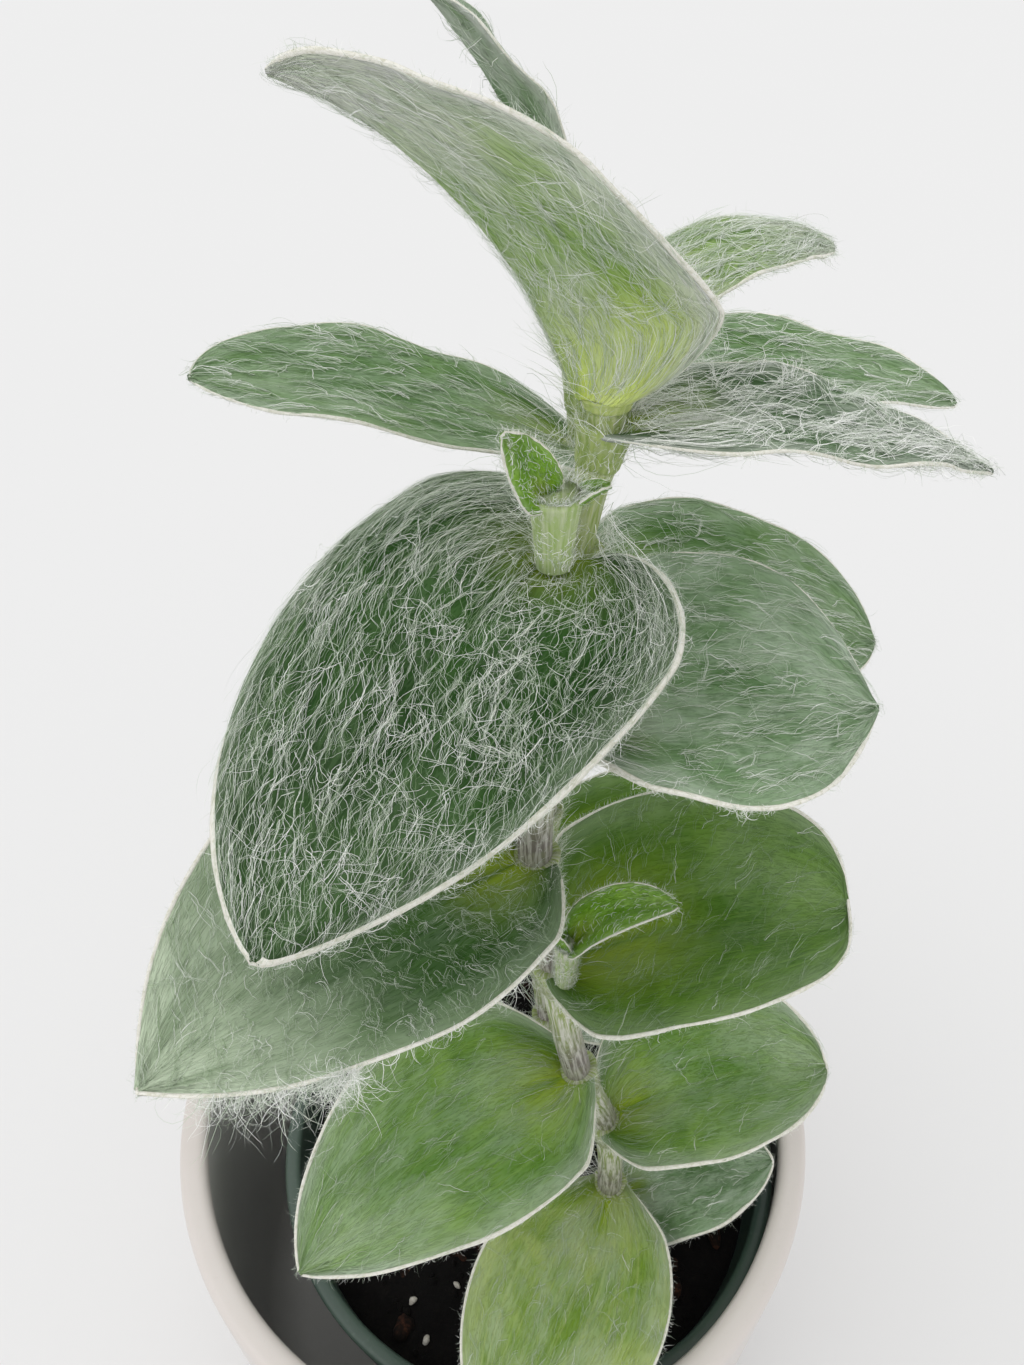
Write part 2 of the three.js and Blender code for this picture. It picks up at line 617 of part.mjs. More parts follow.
const plant = new THREE.Group();
plant.add(shoot('a', STEM_A, LEAVES_A));
plant.add(shoot('b', STEM_B, LEAVES_B));
SPROUTS.forEach((row) => plant.add(sprout(row)));

const feet = [STEM_A, STEM_B].map(([[x, y]]) => new THREE.Vector2(x, y));
const part = new THREE.Group();
part.add(outerPot());
part.add(nurseryPot());
part.add(soil(feet));
part.add(plant);

export default part;
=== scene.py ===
"""A potted white velvet tradescantia, dressed over its fixed frame.

Sizes inside the classes are millimetres, +Z is up and the front is -Y. The finished meshes are
in metres. Each leaf, stem and pot is built again here in a finer form on the same curves, and
the long white wool grows on it as flat slivers, open at their sides.
"""

import logging
import math
from dataclasses import dataclass, field, replace
from enum import Enum

import bpy
import numpy as np
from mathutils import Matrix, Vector


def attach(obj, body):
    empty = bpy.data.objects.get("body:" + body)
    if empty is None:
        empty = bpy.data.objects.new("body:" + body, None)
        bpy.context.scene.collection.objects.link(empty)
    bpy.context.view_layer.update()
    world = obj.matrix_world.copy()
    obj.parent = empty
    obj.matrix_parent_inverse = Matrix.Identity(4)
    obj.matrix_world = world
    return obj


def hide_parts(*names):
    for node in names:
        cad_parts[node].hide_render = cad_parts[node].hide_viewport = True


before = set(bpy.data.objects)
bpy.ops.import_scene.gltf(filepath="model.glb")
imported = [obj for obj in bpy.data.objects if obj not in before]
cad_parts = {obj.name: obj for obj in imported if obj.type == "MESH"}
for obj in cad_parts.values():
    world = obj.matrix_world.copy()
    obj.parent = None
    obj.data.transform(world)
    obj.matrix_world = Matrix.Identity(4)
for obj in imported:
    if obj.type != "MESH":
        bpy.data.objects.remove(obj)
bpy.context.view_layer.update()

MM = 0.001
DEGREE = math.pi / 180
SOIL_LEVEL = 88.0
STEM_RADIUS = 2.4
STEM_TOP_RADIUS = 1.9
SLIM_FROM = 136.0
SLIM_TO = 166.0
SHEATH_GAP = 0.6
SHEATH_WALL = 0.75
NURSERY_CENTRE = (7.2, -5.6)

log = logging.getLogger("tradescantia")

Array = np.ndarray
Pair = tuple[float, float]
Triple = tuple[float, float, float]
Colour = Triple
Material = bpy.types.Material
Socket = bpy.types.NodeSocket


def linear(red: float, green: float, blue: float) -> Colour:
    """A colour in linear light from its usual 0 to 255 values.

    Args:
        red: Red, 0 to 255.
        green: Green, 0 to 255.
        blue: Blue, 0 to 255.

    Returns:
        The three linear values, 0 to 1.
    """
    def decode(value: float) -> float:
        """One channel in linear light."""
        share = value / 255
        return share / 12.92 if share <= 0.04045 else ((share + 0.055) / 1.055) ** 2.4
    return decode(red), decode(green), decode(blue)


def smooth(x: Array) -> Array:
    """The smooth step from 0 to 1 of each value."""
    held = np.clip(x, 0, 1)
    return held * held * (3 - 2 * held)


def unit(vectors: Array) -> Array:
    """The vectors at length one, along the last axis."""
    size = np.linalg.norm(vectors, axis=-1, keepdims=True)
    return vectors / np.maximum(size, 1e-9)


def square_to(vectors: Array, along: Array) -> Array:
    """The parts of the vectors at right angles to other directions, at length one."""
    return unit(vectors - along * np.sum(vectors * along, axis=-1, keepdims=True))


def level(turn: Array) -> Array:
    """Level directions at angles from +X, n by 3."""
    return np.stack([np.cos(turn), np.sin(turn), 0 * turn], axis=1)


def turns(sides: int) -> Array:
    """The angles of even places round a circle, in radians."""
    return np.arange(sides) / sides * 2 * math.pi


def wrapped_chart(turn: Array, share: Array) -> Array:
    """Surface coordinates of rings of points.

    Args:
        turn: The angle of each place round a ring, in radians.
        share: How far along the piece each ring lies.

    Returns:
        The coordinates round and along, n by 2.
    """
    grid = np.broadcast_arrays(turn[None] / (2 * math.pi), share[:, None])
    return np.stack(grid, axis=2).reshape(-1, 2)


def rolling(x: Array, y: Array, seed: int, octaves: int = 4) -> Array:
    """A soft uneven field between about -1 and 1, from sums of turned waves.

    Args:
        x: First coordinate, one wave about every 6 units.
        y: Second coordinate.
        seed: Picks the waves.
        octaves: How many ever finer layers are summed.

    Returns:
        The field's values, shaped like x.
    """
    draw = np.random.default_rng(seed)
    total = np.zeros_like(x, dtype=float)
    weight = 0.0
    for octave in range(octaves):
        pace = 1.9**octave
        share = 0.62**octave
        for _ in range(3):
            turn, phase = draw.uniform(0, 2 * math.pi, 2)
            total += share * np.sin(pace * (x * math.cos(turn) + y * math.sin(turn)) + phase)
            weight += share * 0.62
    return total / weight


class Chart(Enum):
    """Which coordinates a pattern is laid out in."""

    SURFACE = "UV"
    SPACE = "Object"


class NodeBoard:
    """The shader nodes of one material, with short ways to add the usual ones."""

    def __init__(self, name: str) -> None:
        """Starts an empty material.

        Args:
            name: The material's name.
        """
        self.material = bpy.data.materials.new(name)
        self.material.use_nodes = True
        self.tree = self.material.node_tree
        self.tree.nodes.clear()

    def node(self, kind: str) -> bpy.types.Node:
        """A new node of a kind."""
        return self.tree.nodes.new(kind)

    def link(self, source: Socket, target: Socket) -> None:
        """Joins two sockets."""
        self.tree.links.new(source, target)

    def feed(self, target: Socket, value: object) -> None:
        """Links a socket, or sets its plain value.

        Args:
            target: The input socket.
            value: A socket, a number or a colour.
        """
        if isinstance(value, Socket):
            self.link(value, target)
        elif isinstance(value, tuple) and len(value) == 3 and target.type == "RGBA":
            target.default_value = (*value, 1.0)
        else:
            target.default_value = value

    def chart(
        self, chart: Chart, scale: Triple = (1, 1, 1), turn: float = 0.0, shift: Triple = (0, 0, 0)
    ) -> Socket:
        """Coordinates, stretched and turned.

        Args:
            chart: The layout to start from.
            scale: Stretch on each axis. A larger number packs the pattern closer.
            turn: Turn about the third axis, in degrees.
            shift: Offset on each axis.

        Returns:
            The coordinates' socket.
        """
        source = self.node("ShaderNodeTexCoord")
        mapping = self.node("ShaderNodeMapping")
        mapping.inputs["Scale"].default_value = scale
        mapping.inputs["Rotation"].default_value = (0, 0, turn * DEGREE)
        mapping.inputs["Location"].default_value = shift
        self.link(source.outputs[chart.value], mapping.inputs["Vector"])
        return mapping.outputs[0]

    def axes(self, vector: Socket) -> tuple[Socket, ...]:
        """The three numbers of a vector."""
        split = self.node("ShaderNodeSeparateXYZ")
        self.link(vector, split.inputs[0])
        return tuple(split.outputs)

    def noise(
        self, vector: Socket, scale: float = 1.0, detail: float = 3.0, roughness: float = 0.55,
        distortion: float = 0.0,
    ) -> Socket:
        """A cloudy pattern, about 0.5 in the middle.

        Args:
            vector: Coordinates.
            scale: How close the clouds lie.
            detail: Layers of finer clouds.
            roughness: Weight of the finer layers.
            distortion: How much the pattern is stirred.

        Returns:
            The pattern's value socket.
        """
        cloud = self.node("ShaderNodeTexNoise")
        cloud.inputs["Scale"].default_value = scale
        cloud.inputs["Detail"].default_value = detail
        cloud.inputs["Roughness"].default_value = roughness
        cloud.inputs["Distortion"].default_value = distortion
        self.link(vector, cloud.inputs["Vector"])
        return cloud.outputs[0]

    def span(
        self, value: Socket, low: float, high: float, to_low: float = 0.0, to_high: float = 1.0
    ) -> Socket:
        """A smooth change from one number to another as a value passes from low to high.

        Args:
            value: The value that is read.
            low: Where the change starts.
            high: Where it ends.
            to_low: The result at and below low.
            to_high: The result at and above high.

        Returns:
            The result's socket.
        """
        mapped = self.node("ShaderNodeMapRange")
        mapped.interpolation_type = "SMOOTHSTEP"
        for name, number in (
            ("From Min", low), ("From Max", high), ("To Min", to_low), ("To Max", to_high),
        ):
            mapped.inputs[name].default_value = number
        self.link(value, mapped.inputs["Value"])
        return mapped.outputs[0]

    def maths(self, operation: str, first: object, second: object = 0.0) -> Socket:
        """Arithmetic on two values.

        Args:
            operation: The operation's name, such as MULTIPLY.
            first: A socket or number.
            second: A socket or number.

        Returns:
            The result's socket.
        """
        step = self.node("ShaderNodeMath")
        step.operation = operation
        self.feed(step.inputs[0], first)
        self.feed(step.inputs[1], second)
        return step.outputs[0]

    def times(self, first: object, second: object) -> Socket:
        """The product of two values."""
        return self.maths("MULTIPLY", first, second)

    def off_middle(self, value: object) -> Socket:
        """How far a value is from a half."""
        return self.maths("ABSOLUTE", self.maths("SUBTRACT", value, 0.5))

    def blend(self, share: object, first: object, second: object) -> Socket:
        """One colour turning into another.

        Args:
            share: How much of the second shows, 0 to 1.
            first: A colour or its socket.
            second: A colour or its socket.

        Returns:
            The mixed colour's socket.
        """
        mix = self.node("ShaderNodeMix")
        mix.data_type = "RGBA"
        self.feed(mix.inputs[0], share)
        self.feed(mix.inputs[6], first)
        self.feed(mix.inputs[7], second)
        return mix.outputs[2]

    def strands(self, scale: Triple, turn: float, shift: float, width: float) -> Socket:
        """Thin wandering lines along the second axis of the surface, 1 on a line and 0 off it.

        Args:
            scale: How close the lines lie across and along.
            turn: Lean of the lines, in degrees.
            shift: Picks another part of the pattern.
            width: Half the width of a line, as a change of the pattern's value.

        Returns:
            The lines' value socket.
        """
        cloud = self.noise(
            self.chart(Chart.SURFACE, scale, turn, (shift, 0.37 * shift, 0)),
            1.0, 1.5, 0.5, 0.35,
        )
        return self.span(self.off_middle(cloud), width * 0.35, width, 1.0, 0.0)

    def finish(
        self, colour: object, roughness: object, height: Socket | None = None, depth: float = 0.1,
        **fixed: object,
    ) -> Material:
        """Ends the material in one shader.

        Args:
            colour: Base colour or its socket.
            roughness: Roughness or its socket.
            height: Relief, 0 to 1.
            depth: The relief's depth in millimetres.
            fixed: Other shader sockets with their plain values, spaces written as underscores.

        Returns:
            The finished material.
        """
        shader = self.node("ShaderNodeBsdfPrincipled")
        output = self.node("ShaderNodeOutputMaterial")
        self.feed(shader.inputs["Base Color"], colour)
        self.feed(shader.inputs["Roughness"], roughness)
        for name, value in fixed.items():
            self.feed(shader.inputs[name.replace("_", " ")], value)
        if height is not None:
            bump = self.node("ShaderNodeBump")
            bump.inputs["Strength"].default_value = 1.0
            bump.inputs["Distance"].default_value = depth * MM
            self.link(height, bump.inputs["Height"])
            self.link(bump.outputs[0], shader.inputs["Normal"])
        self.link(shader.outputs[0], output.inputs["Surface"])
        return self.material


@dataclass(frozen=True)
class LeafFinish:
    """The upper or under face of a velvety leaf, green under a felt of white hairs.

    mix holds the shares of the white, soft, silver and shaded strands that grow on it.
    """

    deep: Colour
    fresh: Colour
    mix: tuple[float, float, float, float]
    base: Colour = linear(158, 182, 40)
    haze: Colour = linear(168, 184, 158)
    fibre: Colour = linear(158, 182, 150)
    felt: float = 0.4
    cloud: float = 0.2
    glow: float = 0.13
    glow_width: float = 0.42
    tip_haze: float = 0.12
    edge_haze: float = 0.25

    def material(self, name: str) -> Material:
        """The green with its veins, the bright foot, and the felt over it as fine lines.

        Args:
            name: The material's name.

        Returns:
            The finished material.
        """
        board = NodeBoard(name)
        across, along, _ = board.axes(board.chart(Chart.SURFACE))
        patches = board.noise(board.chart(Chart.SURFACE, (2.2, 2.6, 1)), 1.0, 3.0, 0.6, 0.4)
        green = board.blend(board.span(patches, 0.35, 0.68), self.deep, self.fresh)
        veins = board.noise(board.chart(Chart.SURFACE, (46, 1.4, 1), 0, (3.1, 0, 0)), 1.0, 1.0)
        lined = board.blend(board.span(veins, 0.5, 0.66, 0.0, 0.4), green, self.fresh)
        from_rib = board.off_middle(across)
        near_rib = board.span(from_rib, 0.02, self.glow_width, 1.0, 0.0)
        foot = board.span(along, 0.01, self.glow * 2.2, 1.0, 0.0)
        lit = board.blend(board.times(near_rib, foot), lined, self.base)
        shade = board.span(from_rib, 0.0, 0.05, 0.5, 0.0)
        shaded = board.blend(
            board.times(shade, board.span(along, 0.15, 0.75, 1.0, 0.0)), lit, self.deep
        )
        rib = board.span(from_rib, 0.0, 0.007, 0.7, 0.0)
        ribbed = board.blend(
            board.times(rib, board.span(along, 0.2, 0.9, 1.0, 0.0)), shaded, self.fresh
        )
        clouds = board.noise(
            board.chart(Chart.SURFACE, (5, 3.2, 1), 20, (7, 2, 0)), 1.0, 4.0, 0.65
        )
        edge = board.span(from_rib, 0.36, 0.5, 0.0, self.edge_haze)
        tip = board.times(
            board.span(along, 0.35, 1.0, 0.0, self.tip_haze),
            board.span(clouds, 0.3, 0.6, 0.55, 1.25),
        )
        cloudy = board.span(clouds, 0.38, 0.72, 0.0, self.cloud)
        veil = board.maths("ADD", board.maths("ADD", edge, cloudy), tip)
        veiled = board.blend(veil, ribbed, self.haze)
        layers = [
            board.strands((64, 9, 1), 0, 1.7, 0.075),
            board.strands((58, 13, 1), 5, 5.3, 0.06),
            board.strands((50, 18, 1), -8, 9.1, 0.055),
        ]
        lines = board.maths("MAXIMUM", board.maths("MAXIMUM", layers[0], layers[1]), layers[2])
        gathered = board.span(clouds, 0.3, 0.66, 0.2, 1.0)
        bare = board.span(along, 0.02, 0.16, 0.35, 1.0)
        felt = board.times(board.times(lines, board.times(gathered, bare)), self.felt)
        colour = board.blend(felt, veiled, self.fibre)
        return board.finish(
            colour, 0.66, lines, 0.07, Sheen_Weight=0.03, Sheen_Roughness=0.4,
            Specular_IOR_Level=0.14,
        )


@dataclass(frozen=True)
class MarginFinish:
    """The matted cream wool along a leaf's edge."""

    cream: Colour = linear(240, 238, 230)
    shade: Colour = linear(214, 213, 196)

    def material(self) -> Material:
        """Felted fibres that run along the edge.

        Returns:
            The finished material.
        """
        board = NodeBoard("margin_wool")
        fibres = board.noise(board.chart(Chart.SURFACE, (9, 150, 1)), 1.0, 3.0, 0.65, 0.6)
        fuzz = board.noise(board.chart(Chart.SPACE), 1500, 3.0, 0.7, 0.8)
        mixed = board.times(board.maths("ADD", fibres, fuzz), 0.5)
        colour = board.blend(board.span(mixed, 0.38, 0.56), self.shade, self.cream)
        return board.finish(colour, 0.95, mixed, 0.1, Specular_IOR_Level=0.15)


@dataclass(frozen=True)
class WoolFinish:
    """One tone of the long hairs. Every tuft mixes strands of several tones."""

    name: str
    tone: Colour
    roughness: float = 0.55

    def material(self) -> Material:
        """The strand's own tone."""
        return NodeBoard(self.name).finish(self.tone, self.roughness, Specular_IOR_Level=0.35)


WOOL_TONES = (
    WoolFinish("wool_white", linear(246, 247, 244), 0.5),
    WoolFinish("wool_soft", linear(218, 225, 213)),
    WoolFinish("wool_silver", linear(180, 196, 172)),
    WoolFinish("wool_shaded", linear(138, 162, 122), 0.6),
)
WOOL_THICKNESS = (1.35, 1.15, 1.0, 0.9)
WHITE_MIX = (0.45, 0.4, 0.15, 0.0)


@dataclass(frozen=True)
class StemFinish:
    """A juicy stem or sheath, ribbed along its length, woody below and fresh near its top."""

    name: str
    green: Colour
    pale: Colour
    bruise: Colour = linear(122, 108, 116)
    bruised: float = 0.6
    felt: Colour = linear(214, 210, 206)
    felted: float = 0.2
    fresh_from: float = 0.232
    fresh_to: float = 0.246

    def material(self) -> Material:
        """Green with fine pale ribs, purple-grey low on each old length and felted white.

        Returns:
            The finished material.
        """
        board = NodeBoard(self.name)
        _, along, _ = board.axes(board.chart(Chart.SURFACE))
        _, _, height = board.axes(board.chart(Chart.SPACE))
        old = board.span(height, self.fresh_from, self.fresh_to, 1.0, 0.0)
        ribs = board.noise(board.chart(Chart.SURFACE, (34, 0.8, 1)), 1.0, 2.0, 0.6, 0.2)
        green = board.blend(board.span(ribs, 0.3, 0.72), self.green, self.pale)
        patches = board.noise(board.chart(Chart.SPACE), 180, 3.0, 0.6)
        low = board.times(board.span(along, 0.3, 0.9, self.bruised, 0.1), old)
        stained = board.blend(
            board.times(low, board.span(patches, 0.3, 0.6, 0.6, 1.0)), green, self.bruise
        )
        fibres = board.noise(board.chart(Chart.SURFACE, (30, 5, 1), 6), 1.0, 3.0, 0.7, 0.5)
        matted = board.times(
            board.span(fibres, 0.4, 0.62),
            board.times(board.span(along, 0.0, 1.0, 0.45, 1.0), self.felted),
        )
        veil = board.times(matted, board.maths("MAXIMUM", old, 0.35))
        colour = board.blend(veil, stained, self.felt)
        return board.finish(colour, 0.6, fibres, 0.1, Specular_IOR_Level=0.3, Sheen_Weight=0.1)


@dataclass(frozen=True)
class PotFinish:
    """A pot's wall: glazed or moulded, with faint flecks, dust and rubbed places."""

    name: str
    body: Colour
    worn: Colour
    roughness: float
    speckle: float = 0.12
    gloss: float = 0.0
    relief: float = 0.02

    def material(self) -> Material:
        """The wall's colour with slow changes, flecks and fine relief.

        Returns:
            The finished material.
        """
        board = NodeBoard(self.name)
        slow = board.noise(board.chart(Chart.SPACE, (1, 1, 0.6)), 22, 3.0, 0.55)
        fine = board.noise(board.chart(Chart.SPACE), 900, 3.0, 0.6)
        toned = board.blend(board.span(slow, 0.35, 0.7, 0.0, 0.5), self.body, self.worn)
        colour = board.blend(board.span(fine, 0.58, 0.72, 0.0, self.speckle), toned, self.worn)
        rough = board.span(slow, 0.3, 0.7, max(self.roughness - 0.07, 0.05), self.roughness + 0.07)
        return board.finish(
            colour, rough, fine, self.relief, Coat_Weight=self.gloss, Coat_Roughness=0.12,
        )


@dataclass(frozen=True)
class GrainFinish:
    """Loose stuff in the soil, such as peat, bark or pale mineral grains."""

    name: str
    dark: Colour
    light: Colour
    scale: float
    roughness: float = 0.95
    depth: float = 0.5

    def material(self) -> Material:
        """Crumbs of two tones with strong relief.

        Returns:
            The finished material.
        """
        board = NodeBoard(self.name)
        coarse = board.noise(board.chart(Chart.SPACE), self.scale, 5.0, 0.7, 0.6)
        fine = board.noise(board.chart(Chart.SPACE), self.scale * 5, 4.0, 0.7)
        tone = board.times(board.span(coarse, 0.4, 0.68), board.span(fine, 0.3, 0.7))
        colour = board.blend(tone, self.dark, self.light)
        relief = board.maths("ADD", coarse, board.times(fine, 0.4))
        return board.finish(colour, self.roughness, relief, self.depth, Specular_IOR_Level=0.25)


class Tone(Enum):
    """How a leaf's green reads, by its age and how thick its felt is."""

    FRONT = LeafFinish(
        linear(24, 58, 12), linear(44, 84, 26), (0.24, 0.3, 0.28, 0.18), felt=0.16, cloud=0.04,
        tip_haze=0.05, glow=0.1, fibre=linear(108, 138, 94),
    )
    MIDDLE = LeafFinish(
        linear(42, 82, 22), linear(70, 110, 42), (0.04, 0.2, 0.42, 0.34), felt=0.18, cloud=0.03,
        tip_haze=0.85, haze=linear(196, 210, 184),
    )
    DEEP = LeafFinish(
        linear(68, 110, 20), linear(106, 144, 50), (0.0, 0.02, 0.18, 0.8), felt=0.16, cloud=0.14,
        glow=0.28, fibre=linear(136, 160, 104),
    )
    HAZY = LeafFinish(
        linear(84, 120, 70), linear(120, 152, 106), (0.1, 0.3, 0.4, 0.2), cloud=0.6,
        haze=linear(190, 202, 186),
    )
    PALE = LeafFinish(
        linear(88, 131, 38), linear(134, 168, 82), (0.0, 0.05, 0.35, 0.6), felt=0.26, cloud=0.3,
        glow=0.15, edge_haze=0.55, tip_haze=0.3,
    )
    LOW = LeafFinish(
        linear(116, 150, 46), linear(174, 192, 112), (0.02, 0.2, 0.45, 0.33), felt=0.3, cloud=0.5,
        glow=0.12, haze=linear(184, 194, 160),
    )
    TOP = LeafFinish(
        linear(70, 112, 46), linear(110, 146, 82), (0.15, 0.35, 0.35, 0.15), cloud=0.3,
        haze=linear(180, 192, 174),
    )
    MATTED = LeafFinish(
        linear(48, 88, 38), linear(80, 118, 64), (0.5, 0.4, 0.1, 0.0), cloud=0.25,
        haze=linear(206, 210, 204), fibre=linear(186, 196, 180), tip_haze=0.3,
    )
    YOUNG = LeafFinish(
        linear(100, 146, 40), linear(144, 178, 80), (0.16, 0.44, 0.35, 0.05), felt=0.45,
        cloud=0.35, base=linear(214, 232, 112), haze=linear(206, 211, 200), glow=0.16,
        glow_width=3.0, tip_haze=0.75, fibre=linear(190, 204, 164),
    )
    BUD = LeafFinish(
        linear(104, 160, 24), linear(146, 196, 58), (0.2, 0.4, 0.3, 0.1), felt=0.2, cloud=0.05,
        glow=0.2, fibre=linear(186, 208, 140),
    )


def under_face(upper: LeafFinish) -> LeafFinish:
    """The under face of a leaf, paler and more felted than its upper face.

    Args:
        upper: The upper face.

    Returns:
        The under face.
    """
    grey = linear(170, 176, 160)
    return replace(
        upper,
        deep=tuple(0.6 * a + 0.4 * b for a, b in zip(upper.deep, upper.fresh)),
        fresh=tuple(0.8 * a + 0.2 * b for a, b in zip(upper.fresh, grey)),
        haze=linear(208, 210, 206),
        tip_haze=min(1.5 * upper.tip_haze + 0.1, 0.9),
        edge_haze=0.7,
    )


@dataclass(frozen=True)
class Detail:
    """How finely a leaf is meshed.

    rows and columns are its steps along and across, and edge the places round its felted edge.
    steps is the number of a face hair's crimps, crimp the shortest and longest of them, and bunch
    how many hairs run together. fringe counts the margin's hairs and mouth the sheath's.
    """

    rows: int
    columns: int
    edge: int
    steps: int
    crimp: Pair
    bunch: int
    fringe: int = 0
    mouth: int = 0


class Depth(Enum):
    """How near a leaf is to the viewer of the front. A bud's hairs are counted where it grows."""

    FRONT = Detail(96, 40, 200, 11, (0.3, 0.62), 2, 1500, 170)
    NEAR = Detail(60, 24, 120, 7, (0.45, 0.95), 4, 600, 120)
    REAR = Detail(44, 18, 120, 5, (0.5, 1.1), 3, 420, 60)
    BUD = Detail(20, 10, 60, 5, (0.25, 0.5), 1)


class Margin(Enum):
    """The two margins of a leaf, seen from its stem, as places across it."""

    LEFT = 1.0
    RIGHT = -1.0


@dataclass(frozen=True)
class LeafShape:
    """A leaf's place on its stem and the sizes of its blade, with angles in degrees.

    heading turns from +X towards +Y and sway turns it further by the tip. rise is the midrib's
    slope at the stem and droop what it loses by the tip. roll lifts the left half, seen from the
    stem. folds raise the left half and the right, opens flattens that towards the tip, and curl
    bends each half further towards its margin. clasp is how far each side reaches round the stem.
    hairs counts those on the upper face and the under one. edge is the felted edge's half width,
    and edge_left the left margin's where it differs. lift is how high the hairs stand, coarse how
    thick they are beside the usual ones, comb how far they turn from the midrib's direction to
    the left, and tangled the share of them that lie any way on the left half.
    """

    name: str
    height: float = 0.0
    heading: float = 0.0
    rise: float = 15.0
    droop: float = 25.0
    length: float = 40.0
    width: float = 30.0
    sway: float = 0.0
    roll: float = 0.0
    folds: Pair = (15.0, 15.0)
    curl: float = -10.0
    opens: float = 0.2
    widest: float = 0.33
    point: float = 0.62
    blunt: float = 0.1
    lobe: float = 0.1
    clasp: float = 115.0
    joins_by: float = 0.16
    wave: float = 0.5
    waves: float = 2.4
    phase: float = 0.0
    sheath: float = 6.0
    thickness: float = 1.0
    drop_power: float = 1.3
    tone: Tone = Tone.HAZY
    depth: Depth = Depth.NEAR
    hairs: tuple[int, int] = (2200, 700)
    edge: float = 0.3
    edge_left: float = 0.0
    lift: float = 0.3
    coarse: float = 1.0
    comb: float = 0.0
    tangled: float = 0.0


# Leaves that grow above this height over the soil have bright young sheaths.
YOUNG_HEIGHT = 174.0


@dataclass(frozen=True)
class Locks:
    """Ragged locks of curling hairs along one stretch of a leaf's margin.

    spots counts the locks and each the hairs in one. They hang between the two shares of the
    leaf's length in span. length holds the shortest and longest hair, hang how much they hang
    rather than stand out, and twist how tightly they curl.
    """

    spots: int
    each: int
    span: Pair
    margin: Margin
    length: Pair
    hang: float
    twist: float


@dataclass(frozen=True)
class Web:
    """Long fine hairs drawn like cobweb from the stem to a stretch of a leaf's margin.

    heights holds the lowest and highest root over the soil, and span the shares of the leaf's
    length between which the hairs end.
    """

    heights: Pair
    span: Pair
    margin: Margin
    count: int


@dataclass(frozen=True)
class Tangles:
    """Loose knots of curling hairs on a leaf's upper face.

    each counts the hairs in a knot, and right is how far the knots are moved to the right half,
    as a share of its width.
    """

    knots: int
    each: int
    right: float = 0.0


LOCKS: dict[str, tuple[Locks, ...]] = {
    "a08": (
        Locks(22, 11, (0.1, 0.5), Margin.LEFT, (1.0, 3.2), 0.1, 0.7),
        Locks(46, 12, (0.45, 1.0), Margin.LEFT, (0.7, 2.2), 0.5, 0.7),
        Locks(6, 8, (0.86, 1.0), Margin.RIGHT, (0.5, 1.2), 0.3, 0.7),
        Locks(3, 8, (0.75, 0.98), Margin.LEFT, (2.5, 5.0), 1.0, 0.4),
    ),
    "a06": (
        Locks(40, 16, (0.66, 0.92), Margin.LEFT, (3.5, 8.0), 1.3, 0.6),
        Locks(16, 8, (0.2, 0.66), Margin.LEFT, (1.5, 4.0), 0.9, 0.5),
    ),
    "a07": (Locks(10, 8, (0.05, 0.5), Margin.RIGHT, (1.0, 2.6), 0.4, 0.6),),
    "a05": (Locks(8, 8, (0.05, 0.4), Margin.RIGHT, (1.0, 2.4), 0.6, 0.6),),
    "a09": (
        Locks(18, 10, (0.1, 0.98), Margin.LEFT, (0.8, 2.0), 0.1, 0.6),
        Locks(14, 9, (0.1, 0.98), Margin.RIGHT, (0.8, 2.4), 0.3, 0.6),
    ),
    "a10": (Locks(8, 8, (0.15, 0.98), Margin.LEFT, (0.4, 1.2), 0.1, 0.5),),
}

WEBS: dict[str, tuple[Web, ...]] = {
    "a08": (
        Web((158, 168), (0.03, 0.2), Margin.RIGHT, 90),
        Web((158, 164), (0.03, 0.2), Margin.LEFT, 70),
    ),
    "a09": (
        Web((170, 177), (0.08, 0.5), Margin.LEFT, 80),
        Web((169, 174), (0.05, 0.3), Margin.RIGHT, 50),
    ),
    "b09": (Web((154, 160), (0.05, 0.35), Margin.LEFT, 50),),
    "a07": (Web((136, 142), (0.04, 0.25), Margin.RIGHT, 35),),
}

TANGLES: dict[str, Tangles] = {
    "a08": Tangles(26, 12, -0.25),
    "a09": Tangles(12, 14),
    "a06": Tangles(10, 6),
    "a07": Tangles(6, 6),
}

STEM_A_POINTS = (
    (23.5, -17, -16), (23.5, -17, 0), (21.5, -15.5, 32), (15, -15, 54), (10, -14, 85),
    (7, -12.7, 109), (8, -12.5, 135), (10.6, -10, 158), (13.2, -8.5, 172), (13.1, -8, 179),
    (12.8, -8, 184.5),
)
STEM_B_POINTS = (
    (13, 10, -16), (13, 10, 0), (12, 12, 20), (9, 15, 52), (10, 17, 102), (13, 18, 134),
    (13.2, 20.5, 154), (13, 22.5, 168), (12, 23.4, 180),
)

